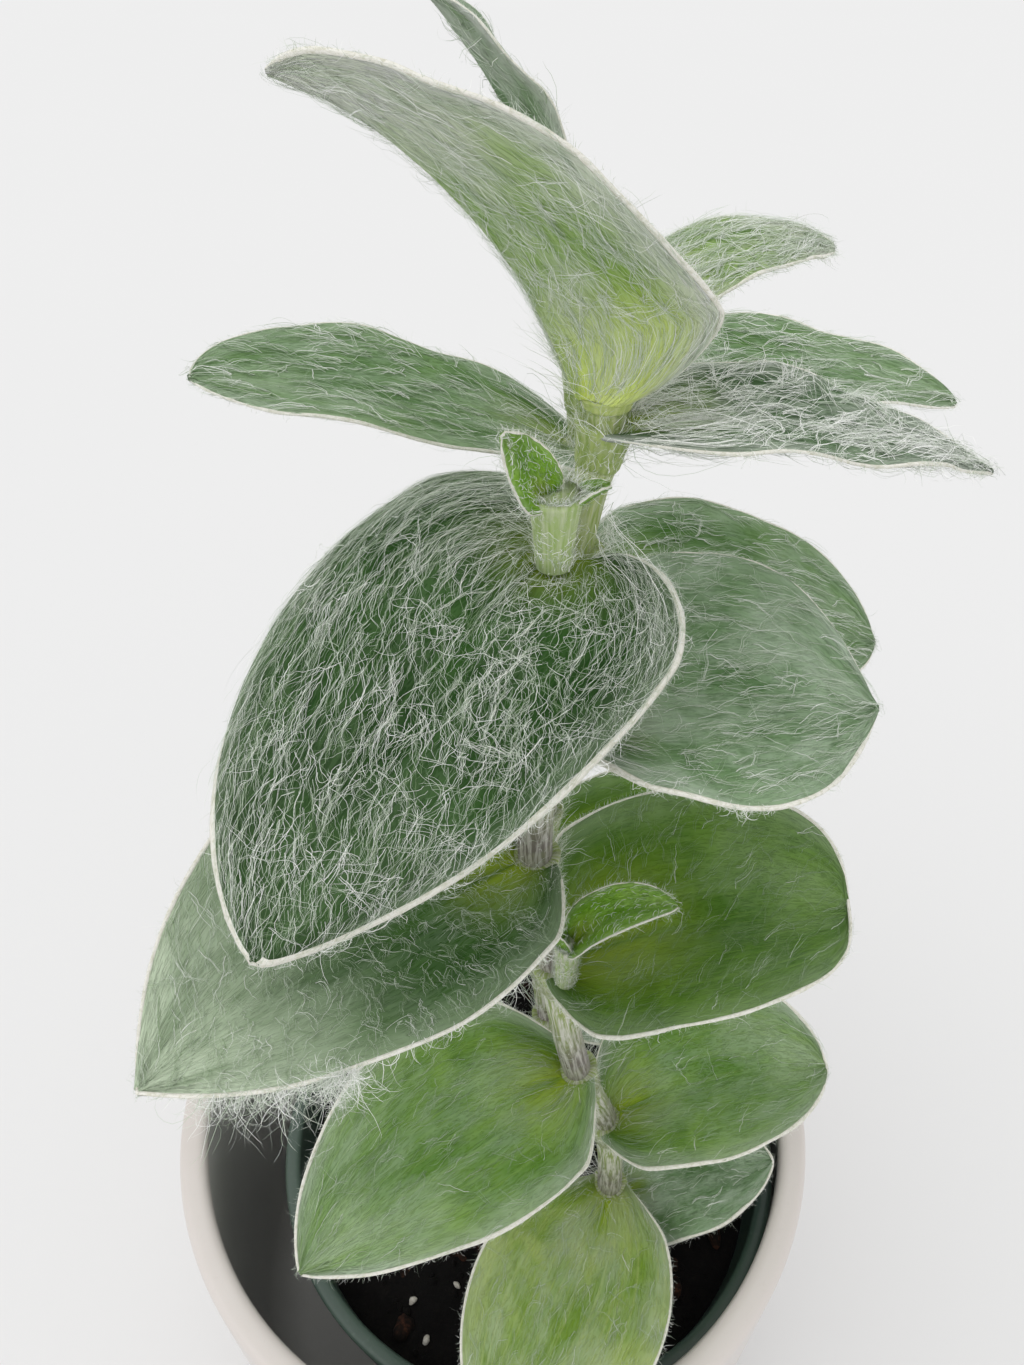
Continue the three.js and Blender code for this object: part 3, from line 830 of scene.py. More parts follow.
LEAVES_A = (
    LeafShape("a01", 5, 3, 32, 16, 31, 24, clasp=95, sheath=2, depth=Depth.REAR, hairs=(360, 130)),
    LeafShape(
        "a02", 10.5, 252, 22, 25, 50, 36, sway=-16, curl=10, blunt=0, widest=0.5, lobe=0.02,
        sheath=3, tone=Tone.LOW, hairs=(1200, 200), edge=0.26, coarse=0.55,
    ),
    LeafShape(
        "a03", 36, 9.5, 33, 29.6, 38.4, 36, sway=-12, roll=7, folds=(22, 27), curl=10, widest=0.48,
        point=0.65, lobe=0.07, phase=0.3, tone=Tone.PALE, hairs=(1000, 200), coarse=0.55, comb=10,
    ),
    LeafShape(
        "a04", 54, 212, 21, 43, 51.8, 36.3, sway=12, folds=(6, 25), curl=10, widest=0.355,
        point=0.85, lobe=0, phase=0.6, tone=Tone.PALE, hairs=(1400, 250), edge=0.28, coarse=0.55,
        comb=10,
    ),
    LeafShape(
        "a05", 85, 4, 27, 17, 41.2, 41, sway=-12, roll=10, folds=(30, 24.7), curl=10, widest=0.355,
        point=0.35, lobe=0.08, phase=0.1, tone=Tone.DEEP, hairs=(1300, 250), edge=0.27,
        coarse=0.55, comb=60,
    ),
    LeafShape(
        "a06", 109, 215, 8, 14, 53.9, 47, sway=6, folds=(22.6, 33), curl=9, widest=0.4, point=0.9,
        lobe=0, phase=0.8, tone=Tone.MIDDLE, hairs=(2800, 250), edge=0.28, coarse=0.7, comb=95,
    ),
    LeafShape(
        "a07", 136.5, 8, 5, 18.2, 37.8, 40, sway=-11, roll=15, folds=(11, 22), curl=0, widest=0.5,
        point=0.93, lobe=0, phase=0.45, hairs=(1950, 250), edge=0.36, edge_left=0.16, coarse=0.68,
    ),
    LeafShape(
        "a08", 158, 225.7, -1, 34, 51.4, 40.5, drop_power=0.8, sway=18, roll=-25, folds=(35, 18),
        curl=-70, opens=0.8, widest=0.335, point=0.745, blunt=0.02, lobe=0.5, joins_by=0.24,
        sheath=8, tone=Tone.FRONT, depth=Depth.FRONT, hairs=(4600, 250), edge=0.13, edge_left=0.52,
        coarse=0.56, comb=22, tangled=0.2,
    ),
    LeafShape(
        "a09", 171.6, 8.9, 3.1, 26.7, 43, 19, drop_power=0.785, roll=15, folds=(15, 40),
        curl=-26.6, widest=0.236, point=0.92, lobe=0.02, joins_by=0.2, sheath=4, phase=0.2,
        tone=Tone.MATTED, hairs=(1500, 1000), edge=0.2, lift=0.45, tangled=0.3,
    ),
    LeafShape(
        "a10", 175.1, 205, 66.5, 58.5, 40.8, 31.9, drop_power=1.7, sway=-50, roll=50,
        folds=(3.9, 62.5), curl=-2.4, opens=0.35, widest=0.04, point=0.8, lobe=0, sheath=1.2,
        tone=Tone.YOUNG, hairs=(600, 3200), edge=0.22, lift=0.2, coarse=0.52,
    ),
    LeafShape(
        "a11", 183.3, 31.3, 33.3, 57.3, 25.8, 10.6, drop_power=0.845, roll=20, folds=(-20, 2),
        curl=0, opens=0.5, widest=0.1, point=0.4, lobe=0.02, wave=0.2, clasp=100, sheath=1.4,
        tone=Tone.YOUNG, hairs=(1300, 500), edge=0.2, lift=0.2, coarse=0.65,
    ),
)

LEAVES_B = (
    LeafShape("b01", 8, 200, 18, 18, 45, 30, sheath=5, depth=Depth.REAR, hairs=(360, 130)),
    LeafShape("b02", 25, 28, 15, 25, 42, 31, phase=0.3, depth=Depth.REAR, hairs=(700, 250)),
    LeafShape("b03", 45, 152, 12, 30, 46, 34, phase=0.5, depth=Depth.REAR, hairs=(800, 300)),
    LeafShape(
        "b04", 64, 24, 12, 22, 44, 34, phase=0.1, tone=Tone.DEEP, depth=Depth.REAR,
        hairs=(480, 180),
    ),
    LeafShape("b05", 85, 146, 15, 30, 46, 35, phase=0.7, depth=Depth.REAR, hairs=(700, 300)),
    LeafShape(
        "b06", 104, 20, 12, 28, 40, 32, phase=0.2, tone=Tone.DEEP, depth=Depth.REAR,
        hairs=(540, 180),
    ),
    LeafShape("b07", 118, 140, 18, 35, 38, 30, phase=0.9, depth=Depth.REAR, hairs=(700, 300)),
    LeafShape(
        "b08", 130, 0, 5, 35, 44, 36, roll=15, folds=(12, 12), phase=0.4, tone=Tone.TOP,
        hairs=(1200, 200), edge=0.24,
    ),
    LeafShape(
        "b09", 154, 200, 30, 22, 48, 27, folds=(5, 14), curl=0, widest=0.5, point=0.6, phase=0.6,
        tone=Tone.TOP, hairs=(1300, 400), edge=0.2,
    ),
    LeafShape(
        "b10", 164.5, 355, -1, 8, 44, 23, curl=0, widest=0.45, point=0.5, phase=0.15,
        tone=Tone.TOP, hairs=(1250, 250), edge=0.2,
    ),
    LeafShape(
        "b11", 180, 190, 72, 28, 29, 16, folds=(30, 30), curl=0, sheath=5, depth=Depth.REAR,
        hairs=(500, 700), edge=0.16,
    ),
)

BUD_LEAF = LeafShape(
    "bud", wave=0, clasp=95, sheath=0, curl=0, opens=0, thickness=0.75, tone=Tone.BUD,
    depth=Depth.BUD, edge=0.14,
)
TIP_LEAVES = (
    replace(BUD_LEAF, heading=215, rise=86, droop=14, length=7, width=5, folds=(45, 45)),
    replace(BUD_LEAF, heading=35, rise=82, droop=10, length=5, width=4, folds=(40, 40)),
)


class Shell:
    """Points and faces gathered for one piece, in millimetres."""

    def __init__(self) -> None:
        """Starts with nothing."""
        self.points: list[Array] = []
        self.charts: list[Array] = []
        self.faces: list[tuple[Array, int | Array]] = []
        self.count = 0

    def add(
        self, points: Array, faces: Array, finish: int | Array = 0, chart: Array | None = None
    ) -> None:
        """Adds a patch of faces.

        Args:
            points: Places, n by 3.
            faces: Corners of each face, m by 3 or m by 4, counted from 0 in this patch.
            finish: Which of the piece's materials the faces take, one for all or one for each.
            chart: Surface coordinates of the points, n by 2.
        """
        self.points.append(points)
        self.charts.append(np.zeros((len(points), 2)) if chart is None else chart)
        self.faces.append((faces + self.count, finish))
        self.count += len(points)

    def faces_like(self, index: Array, finish: int | Array) -> None:
        """Adds faces between points that are in already."""
        self.faces.append((index, finish))

    def close_ring(self, corner: int, sides: int, finish: int, facing_down: bool) -> None:
        """Fills a ring of points that are in already with a fan of triangles.

        Args:
            corner: The ring's first point.
            sides: Points round it.
            finish: Which material the fan takes.
            facing_down: Closes the lower end of a tube, or else its upper end.
        """
        fan = corner + np.arange(1, sides - 1)
        rim = (fan + 1, fan) if facing_down else (fan, fan + 1)
        self.faces_like(np.stack([np.full_like(fan, corner), *rim], axis=1), finish)

    def triangles(self) -> int:
        """How many triangles the faces make."""
        return sum(len(index) * (index.shape[1] - 2) for index, _ in self.faces)

    def piece(
        self, name: str, materials: list[Material], slot: str | None,
        stands_for: tuple[str, ...] = (),
    ) -> bpy.types.Object:
        """Makes the piece in metres, and sets it on the body.

        Args:
            name: The piece's name.
            materials: Its materials, in the order that the faces number them.
            slot: Not used.
            stands_for: The solids that it replaces.

        Returns:
            The new object.
        """
        mesh = bpy.data.meshes.new(name)
        points = np.concatenate(self.points).astype(np.float32) * MM
        chart = np.concatenate(self.charts).astype(np.float32)
        corners = np.concatenate([index.ravel() for index, _ in self.faces]).astype(np.int32)
        sizes = np.concatenate([np.full(len(i), i.shape[1]) for i, _ in self.faces])
        finishes = np.concatenate([np.full(len(i), f) for i, f in self.faces]).astype(np.int32)
        starts = np.concatenate([[0], np.cumsum(sizes)[:-1]]).astype(np.int32)
        mesh.vertices.add(len(points))
        mesh.vertices.foreach_set("co", points.ravel())
        mesh.loops.add(len(corners))
        mesh.loops.foreach_set("vertex_index", corners)
        mesh.polygons.add(len(sizes))
        mesh.polygons.foreach_set("loop_start", starts)
        mesh.polygons.foreach_set("material_index", finishes)
        mesh.polygons.foreach_set("use_smooth", np.ones(len(sizes), dtype=bool))
        layer = mesh.uv_layers.new(name="surface")
        layer.data.foreach_set("uv", chart[corners].ravel())
        for material in materials:
            mesh.materials.append(material)
        mesh.update(calc_edges=True)
        mesh.validate()
        piece = bpy.data.objects.new(name, mesh)
        bpy.context.scene.collection.objects.link(piece)
        if stands_for:
            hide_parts(*stands_for)
        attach(piece, "root")
        log.info("%s: %d triangles", name, self.triangles())
        return piece


def grid_faces(rows: int, columns: int, flip: bool = False) -> Array:
    """Four-sided faces of a grid of points.

    Args:
        rows: Steps down the grid.
        columns: Steps across it.
        flip: Turns the faces the other way.

    Returns:
        The corners, one row for each face.
    """
    i, j = np.meshgrid(np.arange(rows), np.arange(columns), indexing="ij")
    a = (i * (columns + 1) + j).ravel()
    b = a + columns + 1
    quads = np.stack([a, b, b + 1, a + 1], axis=1)
    return quads[:, ::-1] if flip else quads


def ring_faces(rings: int, sides: int) -> Array:
    """Four-sided faces between rings of points, each ring closed on itself.

    Args:
        rings: How many rings.
        sides: Points round each.

    Returns:
        The corners, one row for each face.
    """
    i, j = np.meshgrid(np.arange(rings - 1), np.arange(sides), indexing="ij")
    a = (i * sides + j).ravel()
    b = (i * sides + (j + 1) % sides).ravel()
    return np.stack([a, b, b + sides, a + sides], axis=1)


def carried_frames(path: Array) -> tuple[Array, Array, Array]:
    """Steady directions along a path, with as little twist as can be.

    Args:
        path: Places along it.

    Returns:
        The direction along the path and two side directions, at each place.
    """
    along = unit(np.gradient(path, axis=0))
    side = np.zeros_like(path)
    start = np.array([1.0, 0, 0]) if abs(along[0, 0]) < 0.9 else np.array([0, 1.0, 0])
    side[0] = unit(start - along[0] * np.dot(start, along[0]))
    for k in range(1, len(path)):
        side[k] = unit(side[k - 1] - along[k] * np.dot(side[k - 1], along[k]))
    return along, side, np.cross(along, side)


def tube(shell: Shell, path: Array, radii: Array, sides: int, finish: int = 0) -> None:
    """Adds a tube along a path, closed at its ends.

    Args:
        shell: Where it goes.
        path: Places along its middle.
        radii: Its radius at each place.
        sides: Points round it.
        finish: Which material it takes.
    """
    _, side, other = carried_frames(path)
    turn = turns(sides)
    cosine, sine = np.cos(turn)[None, :, None], np.sin(turn)[None, :, None]
    out = cosine * side[:, None] + sine * other[:, None]
    rings = path[:, None] + radii[:, None, None] * out
    count = len(path)
    chart = wrapped_chart(turn, np.linspace(0, 1, count))
    first = shell.count
    shell.add(rings.reshape(-1, 3), ring_faces(count, sides), finish, chart)
    shell.close_ring(first, sides, finish, True)
    shell.close_ring(first + (count - 1) * sides, sides, finish, False)


def lathe(
    shell: Shell, profile: list[Pair], segments: int, finishes: list[int],
    centre: Pair = (0.0, 0.0),
) -> None:
    """Adds a turned shape about an upright axis.

    Args:
        shell: Where it goes.
        profile: Radius and height of each step, from the axis at the outside's foot, up the
            outside, over the rim and down the inside to the axis.
        segments: Points round it.
        finishes: The material of the band after each step.
        centre: The axis's place.
    """
    turn = turns(segments)
    steps = np.array(profile)
    rings = np.zeros((len(steps), segments, 3))
    rings[..., 0] = centre[0] + steps[:, :1] * np.cos(turn)
    rings[..., 1] = centre[1] + steps[:, :1] * np.sin(turn)
    rings[..., 2] = steps[:, 1:]
    chart = wrapped_chart(turn, np.linspace(0, 1, len(steps)))
    first = shell.count
    faces = ring_faces(len(steps), segments).reshape(len(steps) - 1, segments, 4)
    shell.add(rings.reshape(-1, 3), faces[0], finishes[0], chart)
    for k in range(1, len(steps) - 1):
        shell.faces_like(faces[k] + first, finishes[k])


def rounded(profile: list[Pair], radii: list[float], steps: int) -> list[Pair]:
    """Rounds the corners of a profile.

    Args:
        profile: The corners.
        radii: How far from each corner its rounding starts, 0 to keep it sharp.
        steps: Pieces in each rounding.

    Returns:
        The profile with its roundings.
    """
    points: list[Pair] = []
    corners = [np.array(p, dtype=float) for p in profile]
    for k, corner in enumerate(corners):
        if radii[k] <= 0 or k in (0, len(corners) - 1):
            points.append(tuple(corner))
            continue
        start = corner + unit(corners[k - 1] - corner) * radii[k]
        end = corner + unit(corners[k + 1] - corner) * radii[k]
        for step in range(steps + 1):
            t = step / steps
            points.append(tuple((1 - t) ** 2 * start + 2 * t * (1 - t) * corner + t * t * end))
    return points


class StemCurve:
    """A stem's centre line through its points.

    STEPS is how many places lie on each stretch, and REACH how far up and down a direction is
    measured.
    """

    STEPS = 60
    REACH = 0.4

    def __init__(self, points: tuple[Triple, ...]) -> None:
        """Fits the curve.

        Args:
            points: Places as x, y and height over the soil.
        """
        places = np.array(points, dtype=float) + np.array([0, 0, SOIL_LEVEL])
        self.path = self._sampled(places)
        self.heights = self.path[:, 2] - SOIL_LEVEL

    def _sampled(self, places: Array) -> Array:
        """Places along a centripetal spline.

        Args:
            places: The points that it goes through.

        Returns:
            The fine places, n by 3.
        """
        full = np.vstack([2 * places[0] - places[1], places, 2 * places[-1] - places[-2]])
        out = []
        for k in range(len(places) - 1):
            p0, p1, p2, p3 = full[k : k + 4]
            d0, d1, d2 = (
                max(np.linalg.norm(b - a) ** 0.5, 1e-4)
                for a, b in ((p0, p1), (p1, p2), (p2, p3))
            )
            m1 = ((p1 - p0) / d0 - (p2 - p0) / (d0 + d1) + (p2 - p1) / d1) * d1
            m2 = ((p2 - p1) / d1 - (p3 - p1) / (d1 + d2) + (p3 - p2) / d2) * d1
            t = (np.arange(self.STEPS) / self.STEPS)[:, None]
            out.append(
                p1 + m1 * t + (-3 * p1 + 3 * p2 - 2 * m1 - m2) * t**2
                + (2 * p1 - 2 * p2 + m1 + m2) * t**3
            )
        out.append(places[-1:])
        return np.vstack(out)

    def at(self, height: Array | float) -> tuple[Array, Array]:
        """Where the stem is and where it points.

        Args:
            height: One height over the soil, or several.

        Returns:
            The places and the directions, n by 3 each.
        """
        wanted = np.atleast_1d(np.asarray(height, dtype=float))
        ahead, behind = self._places(wanted + self.REACH), self._places(wanted - self.REACH)
        return self._places(wanted), unit(ahead - behind)

    def _places(self, heights: Array) -> Array:
        """Places on the centre line at heights over the soil."""
        return np.stack([np.interp(heights, self.heights, axis) for axis in self.path.T], axis=1)


def stem_radius(height: Array | float) -> Array:
    """The stem's radius at a height over the soil."""
    share = np.clip((np.asarray(height) - SLIM_FROM) / (SLIM_TO - SLIM_FROM), 0, 1)
    return STEM_RADIUS + (STEM_TOP_RADIUS - STEM_RADIUS) * share


def ring_radius(shape: LeafShape) -> float:
    """The radius of the ring, in the middle of the sheath's wall, that a blade grows from."""
    return float(stem_radius(shape.height - shape.sheath)) + SHEATH_GAP + SHEATH_WALL / 2


@dataclass
class Ring:
    """The ring round a stem that a blade grows from."""

    place: Array
    along: Array
    heading: float
    radius: float
    out: Array = field(init=False)
    side: Array = field(init=False)

    def __post_init__(self) -> None:
        """Finds the outward and left directions."""
        turn = self.heading * DEGREE
        out = np.array([math.cos(turn), math.sin(turn), 0.0])
        self.out = unit(out - self.along * np.dot(out, self.along))
        self.side = np.cross(self.along, self.out)


class Blade:
    """The middle surface of a leaf's blade.

    A place on it has a share, from 0 at the stem to 1 at the tip, and an across, from -1 at the
    right margin to 1 at the left. Off it lie the skins of both faces, SKIN away at the margin and
    SWELL more in the middle.
    """

    STEPS = 240
    MARGIN_STEPS = 400
    TIP_HALF_WIDTH = 0.35
    SWELL = 0.36
    SKIN = 0.12

    def __init__(self, shape: LeafShape, ring: Ring, seed: int) -> None:
        """Lays the midrib.

        Args:
            shape: The leaf's sizes.
            ring: Where it grows from.
            seed: Picks its small unevenness.
        """
        self.shape = shape
        self.ring = ring
        self.seed = seed
        share = np.linspace(0, 1, self.STEPS + 1)
        slope = (shape.rise - shape.droop * share**shape.drop_power) * DEGREE
        heading = (shape.heading + shape.sway * share) * DEGREE
        self.forward = np.stack(
            [np.cos(slope) * np.cos(heading), np.cos(slope) * np.sin(heading), np.sin(slope)],
            axis=1,
        )
        aside = np.stack([-np.sin(heading), np.cos(heading), np.zeros_like(heading)], axis=1)
        roll = shape.roll * DEGREE
        self.left = aside * math.cos(roll) + np.cross(self.forward, aside) * math.sin(roll)
        self.up = np.cross(self.forward, self.left)
        step = shape.length / self.STEPS
        gained = (self.forward[1:] + self.forward[:-1]) / 2 * step
        start = ring.place + ring.out * ring.radius
        self.place = start + np.vstack([np.zeros(3), np.cumsum(gained, axis=0)])
        self.share = share

    def half_width(self, share: Array) -> Array:
        """Half the blade's width.

        Args:
            share: Shares of the length.

        Returns:
            The half widths, shaped like share.
        """
        shape = self.shape
        rising = (share + shape.blunt) / (shape.widest + shape.blunt)
        falling = (share - shape.widest) / (1 - shape.widest)
        near = np.sqrt(np.maximum(0, 1 - (1 - np.clip(rising, 0, 1)) ** 2))
        far = np.maximum(0, 1 - np.clip(falling, 0, 1) ** 2) ** shape.point
        outline = np.where(share < shape.widest, near, far)
        return np.maximum(shape.width / 2 * outline, self.TIP_HALF_WIDTH)

    def _rail(self, table: Array, share: Array) -> Array:
        """Values of a table along the midrib at each share."""
        return np.stack([np.interp(share, self.share, table[:, k]) for k in range(3)], axis=-1)

    def places(self, share: Array, across: Array) -> Array:
        """Places on the middle surface.

        Args:
            share: Shares of the length.
            across: Places across, shaped like share.

        Returns:
            The places, one more axis of 3.
        """
        shape = self.shape
        s = np.clip(share, 0, 1)
        a = np.clip(across, -1, 1)
        half = self.half_width(s)
        reach = np.abs(a)
        fold = np.where(a >= 0, *shape.folds) * DEGREE
        fold = fold * (1 - shape.opens * s)
        curl = shape.curl * DEGREE + 1e-6
        outward = (np.sin(fold + curl * reach) - np.sin(fold)) / curl
        upward = (np.cos(fold) - np.cos(fold + curl * reach)) / curl
        crease = 0.05 + 0.1 * s
        upward = upward * reach / np.sqrt(reach**2 + crease**2)
        turns = shape.waves * s + shape.phase + np.where(a < 0, 0.25, 0.0)
        inside = smooth(4 * s) * smooth(3 - 3 * s)
        ripple = shape.wave * reach**3 * np.sin(2 * math.pi * turns) * inside
        uneven = rolling(s * 14, a * 5, self.seed, 3) * min(0.016 * shape.width, 0.3)
        ripple = ripple + uneven * (0.35 + 0.65 * reach**2) * smooth(5 * s)
        back = shape.lobe * shape.length * reach**2 * (1 - s) ** 3
        blade = (
            self._rail(self.place, s)
            + self._rail(self.left, s) * (half * outward * np.sign(a))[..., None]
            + self._rail(self.up, s) * (half * upward + ripple)[..., None]
            - self._rail(self.forward, s) * back[..., None]
        )
        turn = a * shape.clasp * DEGREE
        ring = self.ring
        collar = (
            ring.place
            + ring.out * (ring.radius * np.cos(turn))[..., None]
            + ring.side * (ring.radius * np.sin(turn))[..., None]
        )
        away = smooth(s / shape.joins_by)[..., None]
        return collar * (1 - away) + blade * away

    def frames(self, share: Array, across: Array) -> tuple[Array, Array, Array, Array]:
        """Places on the middle surface with their own directions.

        Args:
            share: Shares of the length.
            across: Places across, shaped like share.

        Returns:
            The places, and the directions along, to the left, and up off the upper face.
        """
        e = 0.004
        s = np.clip(share, 0, 1)
        a = np.clip(across, -1, 1)
        along = self.places(s + e, a) - self.places(s - e, a)
        cross = self.places(s, a + e) - self.places(s, a - e)
        up = unit(np.cross(along, cross))
        along = unit(along)
        return self.places(s, a), along, np.cross(up, along), up

    def area_draw(self, draw: np.random.Generator, count: int) -> tuple[Array, Array]:
        """Shares and acrosses of places spread evenly over the blade's area.

        Args:
            draw: The random numbers.
            count: How many places.

        Returns:
            The shares and the acrosses.
        """
        edges_s = np.linspace(0.0, 1, 41)
        edges_a = np.linspace(-1, 1, 15)
        s, a = np.meshgrid(edges_s, edges_a, indexing="ij")
        p = self.places(s, a)
        size = np.linalg.norm(np.cross(p[1:, :-1] - p[:-1, :-1], p[:-1, 1:] - p[:-1, :-1]), axis=2)
        chosen = draw.choice(size.size, count, p=size.ravel() / size.sum())
        i, j = np.unravel_index(chosen, size.shape)
        share = edges_s[i] + draw.uniform(0, 1, count) * (edges_s[1] - edges_s[0])
        across = edges_a[j] + draw.uniform(0, 1, count) * (edges_a[1] - edges_a[0])
        return share, across

    def add_faces(self, shell: Shell) -> None:
        """Adds the two faces and the rim between them.

        Args:
            shell: Where they go. Material 0 is above, and 1 is below and on the rim.
        """
        rows, columns = self.shape.depth.value.rows, self.shape.depth.value.columns
        t = np.linspace(0, 1, rows + 1)
        shares = 0.45 * t + 0.55 * (1 - np.cos(math.pi * t)) / 2
        u = np.linspace(-1, 1, columns + 1)
        acrosses = 0.5 * u + 0.5 * np.sin(u * math.pi / 2)
        s, a = np.meshgrid(shares, acrosses, indexing="ij")
        place, _, _, up = self.frames(s, a)
        reach = np.abs(a)
        half = self.half_width(s)
        body = np.sqrt(np.maximum(0, 1 - reach**4)) * (1 - 0.45 * s)
        thick = self.shape.thickness * (self.SWELL * body + self.SKIN)
        groove = 0.22 * np.exp(-((a * half / 0.55) ** 2)) * (1 - s) * smooth(8 * s)
        above = place + up * (thick - groove)[..., None]
        below = place - up * (thick + 0.6 * groove)[..., None]
        chart = np.stack([a / 2 + 0.5, s], axis=2).reshape(-1, 2)
        first = shell.count
        shell.add(above.reshape(-1, 3), grid_faces(rows, columns), 0, chart)
        second = shell.count
        shell.add(below.reshape(-1, 3), grid_faces(rows, columns, True), 1, chart)
        row = columns + 1
        rim = np.concatenate([
            np.arange(columns), np.arange(rows) * row + columns,
            rows * row + np.arange(columns, 0, -1), np.arange(rows, 0, -1) * row,
        ])
        onward = np.roll(rim, -1)
        shell.faces_like(
            np.stack([first + rim, first + onward, second + onward, second + rim], axis=1), 1
        )

    def margin(self, count: int) -> tuple[Array, Array, Array, Array]:
        """Places round the margin, from the stem down the right, round the tip and back.

        Args:
            count: How many places.

        Returns:
            The places, outward directions, directions along the blade, and up directions.
        """
        fine = np.linspace(0, 1, self.MARGIN_STEPS)
        shares = 0.02 + 0.98 * np.concatenate([fine, fine[::-1]])
        steps = np.arange(len(shares))
        path = self.places(shares, np.where(steps < self.MARGIN_STEPS, -1.0, 1.0))
        run = np.concatenate([[0], np.cumsum(np.linalg.norm(np.diff(path, axis=0), axis=1))])
        even = np.linspace(0, run[-1], count)
        where = np.interp(even, run, steps)
        side = np.where(where < self.MARGIN_STEPS - 0.5, -1.0, 1.0)
        place, along, _, up = self.frames(np.interp(where, steps, shares), side)
        trail = np.gradient(place, axis=0)
        outward = unit(np.cross(trail, up))
        return place, outward, along, up

    def edge_width(self, count: int) -> Array:
        """Half the felted edge's width at even places round the margin.

        Args:
            count: How many places.

        Returns:
            The half widths.
        """
        shape = self.shape
        t = np.linspace(0, 1, count)
        left = shape.edge_left if shape.edge_left else shape.edge
        return shape.edge + (left - shape.edge) * smooth((t - 0.36) / 0.1)

    def add_edge(self, shell: Shell) -> None:
        """Adds the thick felted edge.

        Args:
            shell: Where it goes, as material 2.
        """
        count = self.shape.depth.value.edge
        place, outward, _, up = self.margin(count)
        radius = self.edge_width(count)
        t = np.linspace(0, 1, count)
        slow = rolling(t * 50, t * 0, self.seed + 5, 2)
        quick = rolling(t * 210, t * 0, self.seed + 6, 3)
        radii = radius * (1 + 0.24 * slow + 0.1 * quick)
        radii *= smooth(np.minimum(t, 1 - t) * 12 + 0.3)
        wander = 0.04 * rolling(t * 90, t * 0, self.seed, 2)
        path = place - outward * (0.45 * radius)[:, None] + up * wander[:, None]
        tube(shell, path, radii, 6, 2)


def add_slivers(
    shell: Shell, paths: Array, radii: Array, tones: Array, facing: Array,
    draw: np.random.Generator,
) -> None:
    """Adds strands as flat slivers drawn to a point.

    Args:
        shell: Where they go.
        paths: Places along each strand, n by k by 3.
        radii: Half of each strand's width at its root.
        tones: The place of each strand's tone among the wool's materials.
        facing: The direction that the slivers roughly face, shaped like paths.
        draw: The random numbers that turn the strands.
    """
    count, steps, _ = paths.shape
    along = unit(np.gradient(paths, axis=1))
    side = unit(np.cross(along, facing + draw.normal(0, 0.45, (count, 1, 3))))
    taper = np.linspace(1, 0.5, steps - 1)[None, :, None]
    wide = side[:, :-1] * taper * radii[:, None, None]
    points = np.concatenate([paths[:, :-1] + wide, paths[:, :-1] - wide, paths[:, -1:]], axis=1)
    size = 2 * steps - 1
    k = np.arange(steps - 2)
    quad = np.stack([k, k + 1, k + steps, k + steps - 1], axis=1)
    offset = (np.arange(count) * size)[:, None, None]
    before = shell.count
    shell.add(
        points.reshape(-1, 3), (quad[None] + offset).reshape(-1, 4), np.repeat(tones, steps - 2)
    )
    tip = np.array([[steps - 2, size - 1, size - 2]])[None] + offset
    shell.faces_like(tip.reshape(-1, 3) + before, tones)


